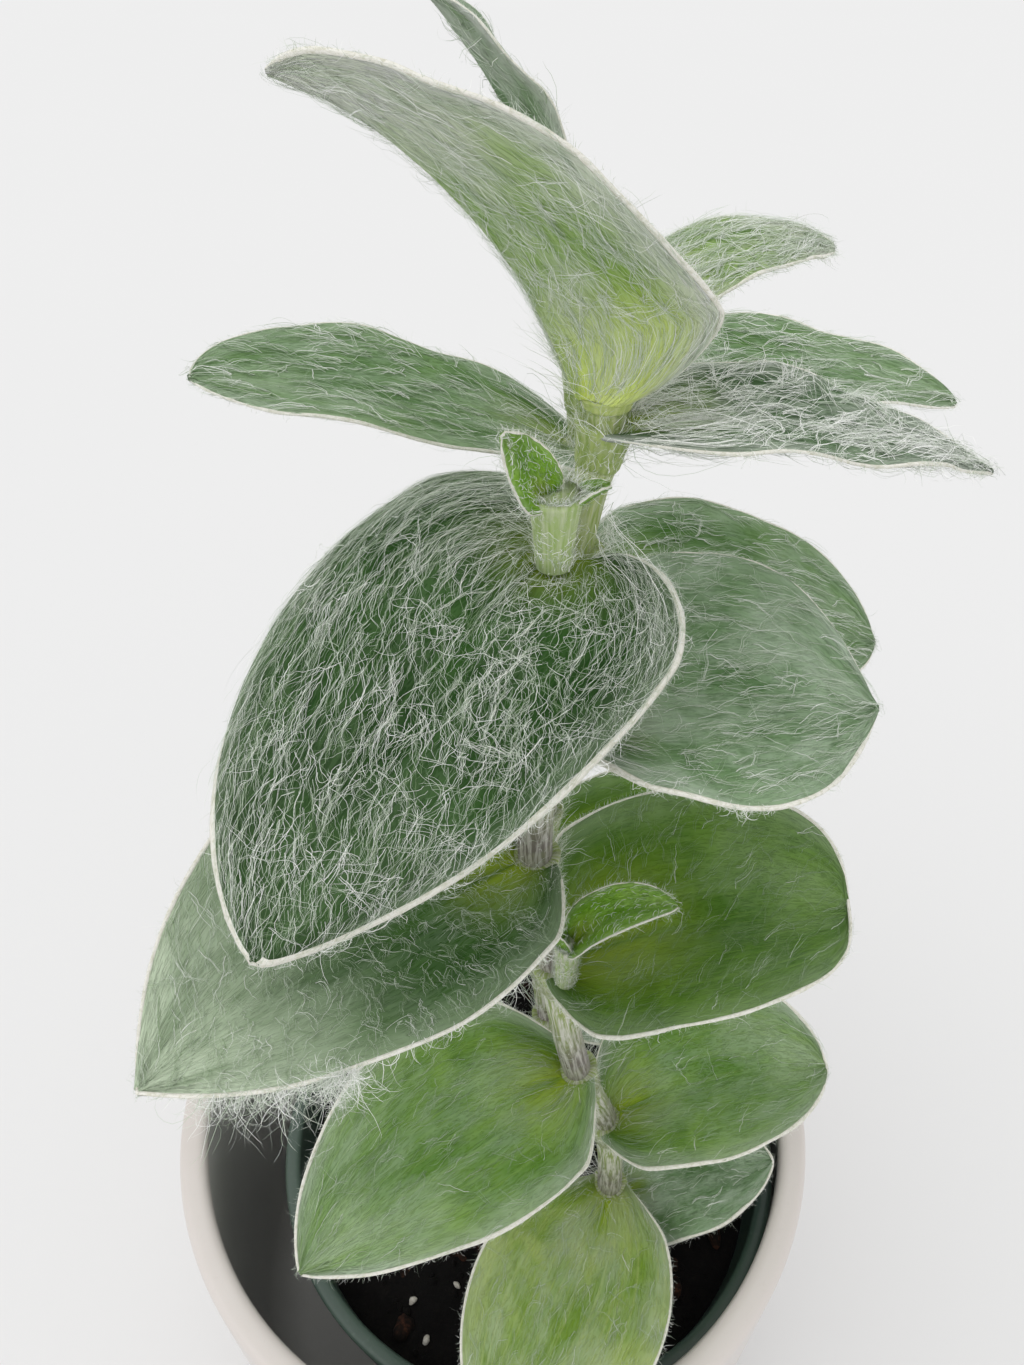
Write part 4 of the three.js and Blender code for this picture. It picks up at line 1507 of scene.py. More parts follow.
@dataclass
class Wool:
    """Grows white hairs on blades, margins, sheaths and stems.

    LEAN is how far a face's hairs stray from their common direction, in degrees, and WEB_RADIUS
    how far cobweb hairs start from the stem's middle.
    """

    LEAN = 17.0
    WEB_RADIUS = 2.9

    seed: int
    radius: float = 0.027
    shell: Shell = field(default_factory=Shell)
    draw: np.random.Generator = field(init=False)

    def __post_init__(self) -> None:
        """Starts the random numbers."""
        self.draw = np.random.default_rng(self.seed)

    def _strands(
        self, count: int, thickness: float = 1.0, mix: tuple[float, ...] = WHITE_MIX,
        gathered: Array | float = 0.0,
    ) -> tuple[Array, Array]:
        """Each strand's radius and the place of its tone.

        Args:
            count: How many strands.
            thickness: How thick they are beside the usual ones.
            mix: The shares of the tones.
            gathered: How much whiter each strand is than its mix, about -0.3 to 0.3.

        Returns:
            The radii and the tones.
        """
        order = np.clip(self.draw.uniform(0, 1, count) - gathered, 0, 0.999)
        tones = np.searchsorted(np.cumsum(mix) / sum(mix), order)
        spread = self.draw.uniform(0.7, 1.3, count)
        return self.radius * thickness * spread * np.array(WOOL_THICKNESS)[tones], tones

    def _combed(self, blade: Blade, count: int) -> tuple[Array, Array, Array]:
        """Crimped paths on the flattened blade, most of them along it and some across.

        Args:
            blade: The blade they lie on.
            count: How many.

        Returns:
            How far along and across they run in millimetres, and how knotted each is.
        """
        draw = self.draw
        shape = blade.shape
        steps, bunch = shape.depth.value.steps, shape.depth.value.bunch
        share, across = blade.area_draw(draw, count // bunch)
        small = 0.6 if shape.length < 20 else 1.0
        piece = draw.uniform(*shape.depth.value.crimp, len(share)) * small
        x0, y0 = share * shape.length, across * blade.half_width(share)
        knots = rolling(x0 * 0.75, y0 * 0.75, self.seed + 2, 3)
        astray_share = 0.06 + 0.1 * (share < 0.4) + 0.25 * np.clip(knots, 0, 1)
        astray_share += shape.tangled * smooth(across * 2.5 + 0.3)
        wild = draw.uniform(size=len(share)) < astray_share
        combed = shape.comb * (1 - 0.4 * share)
        astray = np.where(wild, draw.uniform(-110, 110, len(share)), 0)
        astray = (astray + combed + draw.normal(0, self.LEAN, len(share))) * DEGREE
        swing = draw.normal(0, 30, len(share)) * DEGREE
        x0 = x0 - 0.45 * steps * piece * np.cos(astray)
        y0 = y0 - 0.45 * steps * piece * np.sin(astray)
        crimps = draw.normal(0, 15, (len(share), steps)) * DEGREE
        first, piece, astray, swing, crimps, knots = (
            np.repeat(values, bunch, axis=0)
            for values in (np.stack([x0, y0], axis=1), piece, astray, swing, crimps, knots)
        )
        count = len(piece)
        first = first + draw.normal(0, 0.16, (count, 2)) * (bunch > 1)
        piece = piece * draw.uniform(0.8, 1.1, count)
        astray = astray + draw.normal(0, 4, count) * DEGREE
        low = 0.045 + 0.05 * draw.uniform(size=count)
        x0 = np.maximum(first[:, 0], low * shape.length)
        start_half = blade.half_width(x0 / shape.length)
        y0 = np.clip(first[:, 1], -start_half, start_half)
        t = np.linspace(0, 1, steps + 1)
        x = np.repeat(x0[:, None], steps + 1, axis=1)
        y = np.repeat(y0[:, None], steps + 1, axis=1)
        for k in range(1, steps + 1):
            angle = astray + swing * (t[k] - 0.5) + crimps[:, k - 1] * (-1) ** k
            x[:, k] = x[:, k - 1] + np.cos(angle) * piece
            y[:, k] = y[:, k - 1] + np.sin(angle) * piece
        y = y + 0.2 * small * rolling(x * 0.9, y * 4.0, self.seed + 3, 2)
        half = blade.half_width(np.clip(x / shape.length, 0, 1))
        return x, y * (half / start_half[:, None]) ** 0.4, knots

    def on_face(self, blade: Blade, count: int, upper: bool) -> None:
        """Crimped hairs that lie combed over one face.

        Args:
            blade: The blade they grow on.
            count: How many.
            upper: On the upper face, or else the under one.
        """
        draw = self.draw
        shape = blade.shape
        x, y, knots = self._combed(blade, count)
        count, places = x.shape
        t = np.linspace(0, 1, places)
        s = x / shape.length
        half = blade.half_width(np.clip(s, 0, 1))
        over_side = 0.45 * (1 - np.exp(-np.clip(np.abs(y) - half, 0, None) / 0.45))
        over_tip = 0.6 * (1 - np.exp(-np.clip(x - shape.length, 0, None) / 0.6))
        a = np.clip(y / half, -1, 1)
        place, along, left, up = blade.frames(s, a)
        place = place + left * (np.sign(y) * over_side)[..., None] + along * over_tip[..., None]
        sign = 1.0 if upper else -1.0
        height = draw.gamma(1.5, shape.lift / 1.5, count) * (1 + np.clip(knots, 0, 1))
        crest = draw.uniform(0.5, 1.15, count)
        rise = np.sin(np.outer(crest, t) * math.pi * 0.8) * height[:, None]
        body = np.sqrt(np.maximum(0, 1 - np.abs(a) ** 4))
        skin = shape.thickness * blade.SWELL * body + blade.SKIN
        offset = skin + np.where(t[None] == 0, -0.1, 0.04 + rise)
        radii, tones = self._strands(count, shape.coarse, shape.tone.value.mix, 0.25 * knots)
        path = place + up * (sign * offset)[..., None]
        add_slivers(self.shell, path, radii, tones, up * sign, draw)

    def _curls(
        self, start: Array, heading: Array, length: Array, steps: int, twist: float, pull: Array
    ) -> Array:
        """Curling paths.

        Args:
            start: Where each starts.
            heading: Where each sets off to.
            length: How long each is.
            steps: Pieces in each.
            twist: How far each turns in a piece, in radians.
            pull: The direction they are drawn in, and how much.

        Returns:
            The paths, n by steps + 1 by 3.
        """
        draw = self.draw
        count = len(start)
        axis = unit(draw.normal(size=(count, 3)))
        turn = twist * draw.uniform(0.4, 1.4, (count, 1))
        path = [start]
        heading = unit(heading)
        for _ in range(steps):
            axis = unit(axis + draw.normal(0, 0.3, (count, 3)))
            heading = unit(
                heading + np.cross(axis, heading) * turn + pull + draw.normal(0, 0.1, (count, 3))
            )
            path.append(path[-1] + heading * (length / steps)[:, None])
        return np.stack(path, axis=1)

    def _draw_curls(self, path: Array, thickness: float = 1.0) -> None:
        """Adds curling paths as white slivers.

        Args:
            path: Places along each hair, n by k by 3.
            thickness: How thick they are beside the usual ones.
        """
        count = len(path)
        radii, tones = self._strands(count, thickness)
        facing = np.repeat(unit(self.draw.normal(size=(count, 1, 3))), path.shape[1], axis=1)
        add_slivers(self.shell, path, radii, tones, facing, self.draw)

    def tangles(self, blade: Blade, tangles: Tangles) -> None:
        """Loose cobweb knots of curling hairs over the upper face.

        Args:
            blade: The blade they lie on.
            tangles: How many, and where.
        """
        draw = self.draw
        each, right = tangles.each, tangles.right
        share, across = blade.area_draw(draw, tangles.knots)
        count = tangles.knots * each
        s0 = np.repeat(np.clip(share, 0.1, 0.93), each) + draw.normal(0, 0.03, count)
        a0 = np.repeat(across * (0.92 - right) - right, each) + draw.normal(0, 0.09, count)
        place, along, left, up = blade.frames(s0, np.clip(a0, -0.97, 0.97))
        turn = draw.uniform(0, 2 * math.pi, (count, 1))
        heading = along * np.cos(turn) + left * np.sin(turn)
        start = place + up * draw.uniform(0.35, 1.1, (count, 1))
        path = self._curls(start, heading, draw.uniform(2, 6, count), 8, 0.5, np.zeros(3))
        lifted = path - start[:, None]
        height = np.sum(lifted * up[:, None], axis=2, keepdims=True)
        path = path - up[:, None] * (height - 0.25 * np.clip(height, -0.5, 2.0))
        self._draw_curls(path, 0.8)

    def on_margin(self, blade: Blade, count: int, length: Pair = (0.35, 1.1)) -> None:
        """A dense fringe round the margin, leaning towards the tip.

        Args:
            blade: The blade it edges.
            count: How many hairs.
            length: Shortest and longest hair.
        """
        draw = self.draw
        place, outward, along, up = blade.margin(count)
        shift = draw.uniform(-0.5, 0.5, (count, 1)) * np.gradient(place, axis=0)
        aim = (
            outward * draw.uniform(0.3, 1.0, (count, 1))
            + along * draw.normal(0.45, 0.6, (count, 1))
            + up * draw.normal(0, 0.6, (count, 1))
        )
        start = place + shift + outward * 0.1 + up * draw.normal(0, 0.16, (count, 1))
        width = blade.edge_width(count)
        wide = width / width.max()
        reach = draw.uniform(*length, count) * (1 + (draw.uniform(size=count) < 0.1) * 1.2)
        reach = reach * (0.3 + 0.7 * wide)
        self._draw_curls(self._curls(start, aim, reach, 3, 0.45, 0.1 * outward), 0.65)

    def locks(self, blade: Blade, locks: Locks) -> None:
        """Ragged locks of curling hairs along one stretch of the margin.

        Args:
            blade: The blade they hang from.
            locks: How many, where, and how they curl.
        """
        draw = self.draw
        spots, each, side = locks.spots, locks.each, locks.margin.value
        count = spots * each
        spot = np.repeat(draw.uniform(*locks.span, spots), each)
        size = np.repeat(draw.uniform(0.6, 1.2, spots), each)
        share = np.clip(spot + draw.normal(0, 0.012, count), 0.02, 1)
        place, _, left, up = blade.frames(share, np.full(count, side))
        lock = np.repeat(draw.normal(0, 0.45, (spots, 3)), each, axis=0)
        fall = np.array([0, 0, -locks.hang])
        aim = left * side + fall + lock + draw.normal(0, 0.35, (count, 3))
        start = place + up * draw.normal(0, 0.2, (count, 1))
        reach = draw.uniform(*locks.length, count) * size
        pull = 0.12 * fall + 0.06 * lock
        self._draw_curls(self._curls(start, aim, reach, 8, locks.twist, pull), 0.85)

    def web(self, curve: StemCurve, blade: Blade, web: Web) -> None:
        """Long fine hairs from the stem to the margin.

        Args:
            curve: The stem they leave.
            blade: The blade that they reach.
            web: How many, and where.
        """
        draw, count = self.draw, web.count
        root, along = curve.at(draw.uniform(*web.heights, count))
        share = draw.uniform(*web.span, count)
        across = web.margin.value * draw.uniform(0.75, 1.0, count)
        end, _, _, up = blade.frames(share, across)
        end = end + up * draw.uniform(0.3, 1.2, (count, 1))
        out = square_to(end - root, along)
        aside = np.cross(along, out) * draw.normal(0, 1.1, (count, 1))
        start = root + out * self.WEB_RADIUS + aside
        reach = draw.uniform(0.45, 1.05, (count, 1))
        bow = draw.normal(0, 0.16, (count, 3)) * np.linalg.norm(end - start, axis=1)[:, None]
        path = []
        for t in np.linspace(0, 1, 9):
            step = reach * t
            wiggle = draw.normal(0, 0.12, (count, 3)) * (t > 0)
            path.append(start + (end - start) * step + bow * 4 * step * (1 - step) + wiggle)
        self._draw_curls(np.stack(path, axis=1))

    def round_stem(
        self, curve: StemCurve, count: int, heights: Pair, radius: float, length: Pair,
        outward: Pair,
    ) -> None:
        """Hairs round a stem or a sheath, sweeping up along it.

        Args:
            curve: The stem.
            count: How many.
            heights: Lowest and highest root over the soil.
            radius: Distance of the roots from the stem's middle.
            length: Shortest and longest hair.
            outward: How far they lean out, as a share of how far they rise.
        """
        draw = self.draw
        place, along = curve.at(draw.uniform(*heights, count))
        turn = draw.uniform(0, 2 * math.pi, count)
        out = square_to(level(turn), along)
        side = np.cross(along, out)
        steps = 5
        reach = draw.uniform(*length, count)[:, None]
        lean = draw.uniform(*outward, (count, 1))
        drift = draw.normal(0, 0.45, (count, 1))
        curl = draw.normal(0, 0.5, (count, 1))
        path = []
        for k in range(steps + 1):
            t = k / steps
            path.append(
                place + out * (radius - 0.1)
                + along * (reach * t * (1 - 0.25 * t))
                + out * (reach * (lean * t + 0.25 * curl * t * t))
                + side * (reach * (drift * t + curl * np.sin(3 * t) * 0.35))
                + draw.normal(0, 0.07, (count, 3)) * (k > 0)
            )
        paths = np.stack(path, axis=1)
        radii, tones = self._strands(count)
        facing = np.repeat(out[:, None], steps + 1, axis=1)
        add_slivers(self.shell, paths, radii, tones, facing, draw)

    def piece(self, name: str, finishes: "Finishes") -> None:
        """Makes the wool's own piece."""
        self.shell.piece(name, finishes.wool, None)


@dataclass
class Finishes:
    """Every plant material, made once and shared."""

    upper: dict[Tone, Material] = field(init=False)
    under: dict[Tone, Material] = field(init=False)
    margin: Material = field(init=False)
    wool: list[Material] = field(init=False)
    stem: Material = field(init=False)
    sheath: Material = field(init=False)
    young_sheath: Material = field(init=False)
    stalk: Material = field(init=False)

    def __post_init__(self) -> None:
        """Makes them."""
        under = {tone: under_face(tone.value) for tone in Tone}
        under[Tone.BUD] = Tone.BUD.value
        self.upper = {
            tone: tone.value.material(f"leaf_{tone.name.lower()}_upper") for tone in Tone
        }
        self.under = {
            tone: face.material(f"leaf_{tone.name.lower()}_under") for tone, face in under.items()
        }
        self.margin = MarginFinish().material()
        self.wool = [tone.material() for tone in WOOL_TONES]
        self.stem = StemFinish(
            "stem_green", linear(136, 158, 76), linear(174, 188, 118), bruised=0.9, felted=1.0,
            felt=linear(230, 226, 222),
        ).material()
        self.sheath = StemFinish(
            "sheath_green", linear(134, 158, 74), linear(172, 188, 116), bruised=0.4, felted=0.7
        ).material()
        self.young_sheath = StemFinish(
            "young_sheath_green", linear(176, 196, 100), linear(206, 218, 144), bruised=0.0,
            felted=0.4,
        ).material()
        self.stalk = StemFinish(
            "sprout_stalk_green", linear(146, 174, 92), linear(184, 200, 146), bruised=0.0,
            felted=1.0,
        ).material()


@dataclass
class Leaf:
    """One leaf of a stem: its blade, its closed sheath and its wool."""

    SHEATH_SIDES = 36

    shape: LeafShape
    curve: StemCurve
    seed: int
    blade: Blade = field(init=False)

    def __post_init__(self) -> None:
        """Finds the ring that it grows from, and lays the blade."""
        place, along = self.curve.at(self.shape.height)
        ring = Ring(place[0], along[0], self.shape.heading, ring_radius(self.shape))
        self.blade = Blade(self.shape, ring, self.seed)

    def build(self, finishes: Finishes) -> None:
        """Makes the leaf's two pieces.

        Args:
            finishes: The materials.
        """
        shell = Shell()
        self.blade.add_faces(shell)
        self.blade.add_edge(shell)
        self._add_sheath(shell)
        tone = self.shape.tone
        young = self.shape.height > YOUNG_HEIGHT
        sheath = finishes.young_sheath if young else finishes.sheath
        shell.piece(
            f"blade_{self.shape.name}",
            [finishes.upper[tone], finishes.under[tone], finishes.margin, sheath],
            "young_leaf" if tone is Tone.YOUNG else "leaf", (f"leaf_{self.shape.name}",),
        )
        self._grow(finishes)

    def _add_sheath(self, shell: Shell) -> None:
        """Adds the closed funnel round the stem that the blade grows from.

        Args:
            shell: Where it goes, as material 3.
        """
        shape = self.shape
        turn = turns(self.SHEATH_SIDES)
        away = np.abs((turn - shape.heading * DEGREE + math.pi) % (2 * math.pi) - math.pi)
        behind = smooth((away / DEGREE - 75) / 50)
        low = shape.height - shape.sheath - 0.4
        high = shape.height - 0.15 + 0.35 * behind
        share = np.array([0, 0.05, 0.15, 0.35, 0.6, 0.85, 1, 1, 1, 1])
        radius = np.array([2.3, 2.75, 2.95, 3.05, 3.2, 3.4, 3.6, 3.42, 3.0, 2.1])
        radius += ring_radius(shape) - (STEM_RADIUS + SHEATH_GAP + SHEATH_WALL / 2)
        radius[[0, -1]] = float(stem_radius(low)) - np.array([0.1, 0.3])
        over = np.array([0, 0, 0, 0, 0, 0, 0, 0.3, 0.3, 0.05])
        height = low + share[:, None] * (high - low)[None] + over[:, None]
        place, along = self.curve.at(height.ravel())
        flat = square_to(np.tile(level(turn), (len(share), 1)), along)
        ribs = 1 + 0.006 * np.sin(turn * 11)[None] * (share > 0.1)[:, None]
        rings = place + flat * (radius[:, None] * ribs).reshape(-1, 1)
        faces = ring_faces(len(share), self.SHEATH_SIDES)
        shell.add(rings, faces, 3, wrapped_chart(turn, share))

    def _grow(self, finishes: Finishes) -> None:
        """Grows the leaf's wool and makes its piece.

        Args:
            finishes: The materials.
        """
        shape = self.shape
        detail = shape.depth.value
        wool = Wool(self.seed + 11)
        for count, upper in zip(shape.hairs, (True, False)):
            wool.on_face(self.blade, count, upper)
        wool.on_margin(self.blade, detail.fringe)
        low, high = shape.height - shape.sheath, shape.height
        ring = self.blade.ring.radius
        wool.round_stem(self.curve, detail.mouth, (high - 0.3, high + 0.2), ring, (2.0, 6.5),
                        (0.1, 1.3))
        wool.round_stem(
            self.curve, int(26 * shape.sheath), (low, high), ring - 0.1, (1.2, 3.0), (0.1, 0.5)
        )
        for locks in LOCKS.get(shape.name, ()):
            wool.locks(self.blade, locks)
        for web in WEBS.get(shape.name, ()):
            wool.web(self.curve, self.blade, web)
        if shape.name in TANGLES:
            wool.tangles(self.blade, TANGLES[shape.name])
        wool.piece(f"wool_{shape.name}", finishes)


@dataclass
class StemShoot:
    """A stem with its leaves."""

    letter: str
    points: tuple[Triple, ...]
    leaves: tuple[LeafShape, ...]
    seed: int
    foot: float = -15.9
    sides: int = 24

    def build(self, finishes: Finishes) -> None:
        """Makes the stem, its wool and its leaves.

        Args:
            finishes: The materials.
        """
        curve = StemCurve(self.points)
        self._build_stem(curve, finishes)
        for k, shape in enumerate(self.leaves):
            Leaf(shape, curve, self.seed + 40 * k).build(finishes)

    def _build_stem(self, curve: StemCurve, finishes: Finishes) -> None:
        """Makes the stem with its swollen nodes and the youngest leaves at its tip.

        Args:
            curve: The stem's centre line.
            finishes: The materials.
        """
        shell = Shell()
        top = curve.heights[-1]
        heights = np.append(np.arange(self.foot, top, 1.0), top)
        nodes = [shape.height - shape.sheath for shape in self.leaves]
        swelling = sum(0.35 * np.exp(-(((heights - node) / 1.3) ** 2)) for node in nodes)
        radii = stem_radius(heights) + 0.7 * swelling
        radii *= 1 - 0.45 * smooth((heights - top + 3) / 3)
        place, along = curve.at(heights)
        turn = turns(self.sides)
        ribs = 1 + 0.015 * np.sin(turn * 8)[None]
        flat = square_to(level(turn)[None], along[:, None])
        rings = place[:, None] + flat * (radii[:, None] * ribs)[..., None]
        edges = np.array(sorted(nodes) + [top + 8])
        which = np.searchsorted(edges, heights, side="right") - 1
        foot = np.where(which >= 0, edges[np.maximum(which, 0)], -10)
        head = edges[np.minimum(which + 1, len(edges) - 1)]
        share = np.clip((heights - foot) / np.maximum(head - foot, 1), 0, 1)
        faces = ring_faces(len(heights), self.sides)
        shell.add(rings.reshape(-1, 3), faces, 0, wrapped_chart(turn, share))
        shell.close_ring((len(heights) - 1) * self.sides, self.sides, 0, False)
        shell.close_ring(0, self.sides, 0, True)
        wool = Wool(self.seed + 7)
        wool.round_stem(curve, 850, (1, SLIM_FROM), STEM_RADIUS, (1.2, 3.4), (0.05, 0.6))
        wool.round_stem(curve, 420, (SLIM_FROM, top), STEM_TOP_RADIUS, (1.2, 3.4), (0.05, 0.6))
        end, tangent = curve.at(top)
        for k, shape in enumerate(TIP_LEAVES):
            ring = Ring(end[0] - np.array([0, 0, 0.45]), tangent[0], shape.heading,
                        0.6 * STEM_TOP_RADIUS)
            blade = Blade(shape, ring, self.seed + k)
            blade.add_faces(shell)
            wool.on_face(blade, 70, True)
            wool.on_face(blade, 90, False)
            wool.on_margin(blade, 90, (0.4, 1.2))
        shell.piece(
            f"shoot_stem_{self.letter}", [finishes.stem, finishes.under[Tone.BUD]], "stem",
            (f"stem_{self.letter}",),
        )
        wool.piece(f"wool_stem_{self.letter}", finishes)


@dataclass
class Sprout:
    """A small side shoot in a leaf's axil: a short stalk with two small leaves."""

    name: str
    foot: Triple
    stalk: float
    mouth: float
    leaves: tuple[LeafShape, ...]
    seed: int
    stalk_radius: float = 1.5

    def build(self, finishes: Finishes) -> None:
        """Makes the sprout and its wool.

        Args:
            finishes: The materials.
        """
        shell = Shell()
        wool = Wool(self.seed)
        foot = np.array(self.foot) + np.array([0, 0, SOIL_LEVEL])
        share = np.array([0, 0.02, 0.25, 0.5, 0.75, 0.93, 1.0, 1.0, 0.96])
        wide = np.array([0.6, 0.95, 1.0, 1.02, 1.06, 1.1, 1.1, 0.95, 0.5])
        slim = self.stalk_radius + (self.mouth - self.stalk_radius) * share**1.5
        path = foot + np.array([0, 0, 1.0]) * (share * self.stalk)[:, None]
        path[-2:, 2] += np.array([0.25, 0.15])
        tube(shell, path, slim * wide, 20, 3)
        for k, shape in enumerate(self.leaves):
            place = foot + np.array([0, 0, self.stalk - 0.5 - 1.6 * k])
            ring = Ring(place, np.array([0, 0, 1.0]), shape.heading, self.stalk_radius * 0.7)
            blade = Blade(shape, ring, self.seed + k)
            blade.add_faces(shell)
            blade.add_edge(shell)
            big = shape.length > 8
            wool.on_face(blade, 200 if big else 70, True)
            wool.on_face(blade, 220 if big else 70, False)
            wool.on_margin(blade, 320 if big else 110, (0.3, 1.0))
        x, y, low = self.foot
        high = low + self.stalk
        curve = StemCurve(((x, y, low), (x, y, (low + high) / 2), (x, y, high + 2)))
        wool.round_stem(
            curve, int(90 * self.stalk), (low + 0.3, high), self.stalk_radius * 1.1, (0.8, 2.2),
            (0.05, 0.4),
        )
        wool.round_stem(curve, 260, (high - 0.3, high), self.mouth * 0.95, (1.0, 2.8), (0.1, 0.9))
        shell.piece(
            f"bud_{self.name}",
            [finishes.upper[Tone.BUD], finishes.under[Tone.BUD], finishes.margin, finishes.stalk],
            "young_leaf", (f"sprout_{self.name}",),
        )
        wool.piece(f"wool_bud_{self.name}", finishes)


SPROUTS = (
    Sprout("a08", (8.1, -15.2, 159.2), 8.7, 2.6, (
        replace(BUD_LEAF, heading=200, rise=65, droop=6, length=9, width=6, roll=-70,
                folds=(25, 25)),
        replace(BUD_LEAF, heading=0, rise=45, droop=20, length=5, width=4, folds=(30, 30)),
    ), 900, 2.0),
    Sprout("a05", (11.6, -19.8, 88.4), 9.7, 1.7, (
        replace(BUD_LEAF, heading=5, rise=62, droop=78, length=17, width=9, folds=(25, 25)),
        replace(BUD_LEAF, heading=190, rise=80, droop=10, length=6, width=5, folds=(45, 45)),
    ), 950),
)


@dataclass
class OuterPot:
    """The round glazed outer pot."""

    height: float = 105.0
    rim_radius: float = 63.5
    body_radius: float = 62.5
    foot_radius: float = 54.0
    wall: float = 3.5
    lip_width: float = 5.3
    lip_height: float = 4.5
    floor: float = 6.0
    belly: float = 20.0
    segments: int = 160

    def _shoulder(self, radius: float, foot: float, floor: float) -> list[Pair]:
        """The rounded stretch between the foot and the wall.

        Args:
            radius: The wall's radius.
            foot: The foot's radius.
            floor: The foot's height.

        Returns:
            The steps of the profile.
        """
        rise = floor - self.belly
        return [
            (foot + (radius - foot) * math.sin(a), self.belly + rise * math.cos(a))
            for a in np.linspace(0, math.pi / 2, 13)
        ]

    def build(self) -> None:
        """Turns the pot with its thick lip, glazed outside and matt inside."""
        outside = [(0.0, 0.0), (self.foot_radius - 5, 0.0)]
        outside += self._shoulder(self.body_radius, self.foot_radius, 0.0)
        under_lip = self.height - self.lip_height
        rim = rounded(
            [
                (self.rim_radius - 0.05, self.height - 8), (self.rim_radius, self.height),
                (self.rim_radius - self.lip_width, self.height),
                (self.rim_radius - self.lip_width, under_lip + 1.2),
                (self.rim_radius - self.wall, under_lip - 0.6),
                (self.rim_radius - self.wall - 0.05, under_lip - 4),
            ],
            [0, 1.9, 2.2, 0.8, 0.8, 0], 7,
        )
        inside = self._shoulder(
            self.body_radius - self.wall, self.foot_radius - self.wall, self.floor
        )
        profile = outside + rim + inside[::-1] + [(0.0, self.floor)]
        white_steps = len(outside) + len(rim) - 1
        finishes = [0 if k < white_steps else 1 for k in range(len(profile) - 1)]
        shell = Shell()
        lathe(shell, profile, self.segments, finishes)
        glaze = PotFinish(
            "off_white_glaze", linear(216, 209, 204), linear(198, 190, 183), 0.4, gloss=0.2
        )
        lining = PotFinish(
            "pale_lining", linear(216, 215, 212), linear(198, 197, 193), 0.7, relief=0.05
        )
        shell.piece("glazed_pot", [glaze.material(), lining.material()], "outer_pot",
                    ("outer_pot",))


@dataclass
class NurseryPot:
    """The thin moulded pot that the plant grows in."""

    centre: Pair = NURSERY_CENTRE
    top: float = 98.5
    rim_radius: float = 50.0
    mouth_radius: float = 46.8
    foot_radius: float = 36.0
    foot: float = 6.3
    wall: float = 1.4
    lip_drop: float = 9.0
    drain_holes: int = 6
    drain_ring: float = 29.0
    drain_radius: float = 4.0
    segments: int = 160

    def inside_radius(self, height: float) -> float:
        """The inside wall's radius at a height."""
        share = (height - self.foot) / (self.top - self.foot)
        return (self.foot_radius - self.wall) * (1 - share) + self.mouth_radius * share

    def build(self) -> None:
        """Turns the pot with its deep lip, and cuts its drain holes."""
        lip, floor = self.top - self.lip_drop, self.foot + self.wall
        under_lip = self.inside_radius(lip) + self.wall
        corners = [
            (0.0, self.foot), (self.foot_radius, self.foot), (under_lip, lip),
            (self.rim_radius - 1.2, lip), (self.rim_radius - 1.0, lip + 3),
            (self.rim_radius, self.top), (self.mouth_radius, self.top),
            (self.mouth_radius - 0.35, self.top - 3.4),
            (self.inside_radius(floor), floor), (0.0, floor),
        ]
        profile = rounded(corners, [0, 1.5, 0.5, 0.6, 0.6, 1.3, 1.1, 1.2, 1.5, 0], 6)
        shell = Shell()
        lathe(shell, profile, self.segments, [0] * (len(profile) - 1), self.centre)
        plastic = PotFinish(
            "teal_green_plastic", linear(54, 72, 63), linear(84, 99, 89), 0.42, speckle=0.25,
            relief=0.04,
        )
        pot = shell.piece("green_pot", [plastic.material()], "nursery_pot", ("nursery_pot",))
        self._drain(pot)

    def _drain(self, pot: bpy.types.Object) -> None:
        """Cuts the round drain holes through the base.

        Args:
            pot: The turned pot.
        """
        cutters = Shell()
        for turn in turns(self.drain_holes):
            x = self.centre[0] + self.drain_ring * math.cos(turn)
            y = self.centre[1] + self.drain_ring * math.sin(turn)
            path = np.array([[x, y, self.foot + step] for step in (-3, 1, 4)])
            tube(cutters, path, np.full(3, self.drain_radius), 24)
        cutter = cutters.piece("drain_cutter", [], None)
        cut = pot.modifiers.new("drain", "BOOLEAN")
        cut.operation = "DIFFERENCE"
        cut.solver = "EXACT"
        cut.object = cutter
        bpy.context.view_layer.objects.active = pot
        bpy.ops.object.modifier_apply(modifier=cut.name)
        bpy.data.objects.remove(cutter)


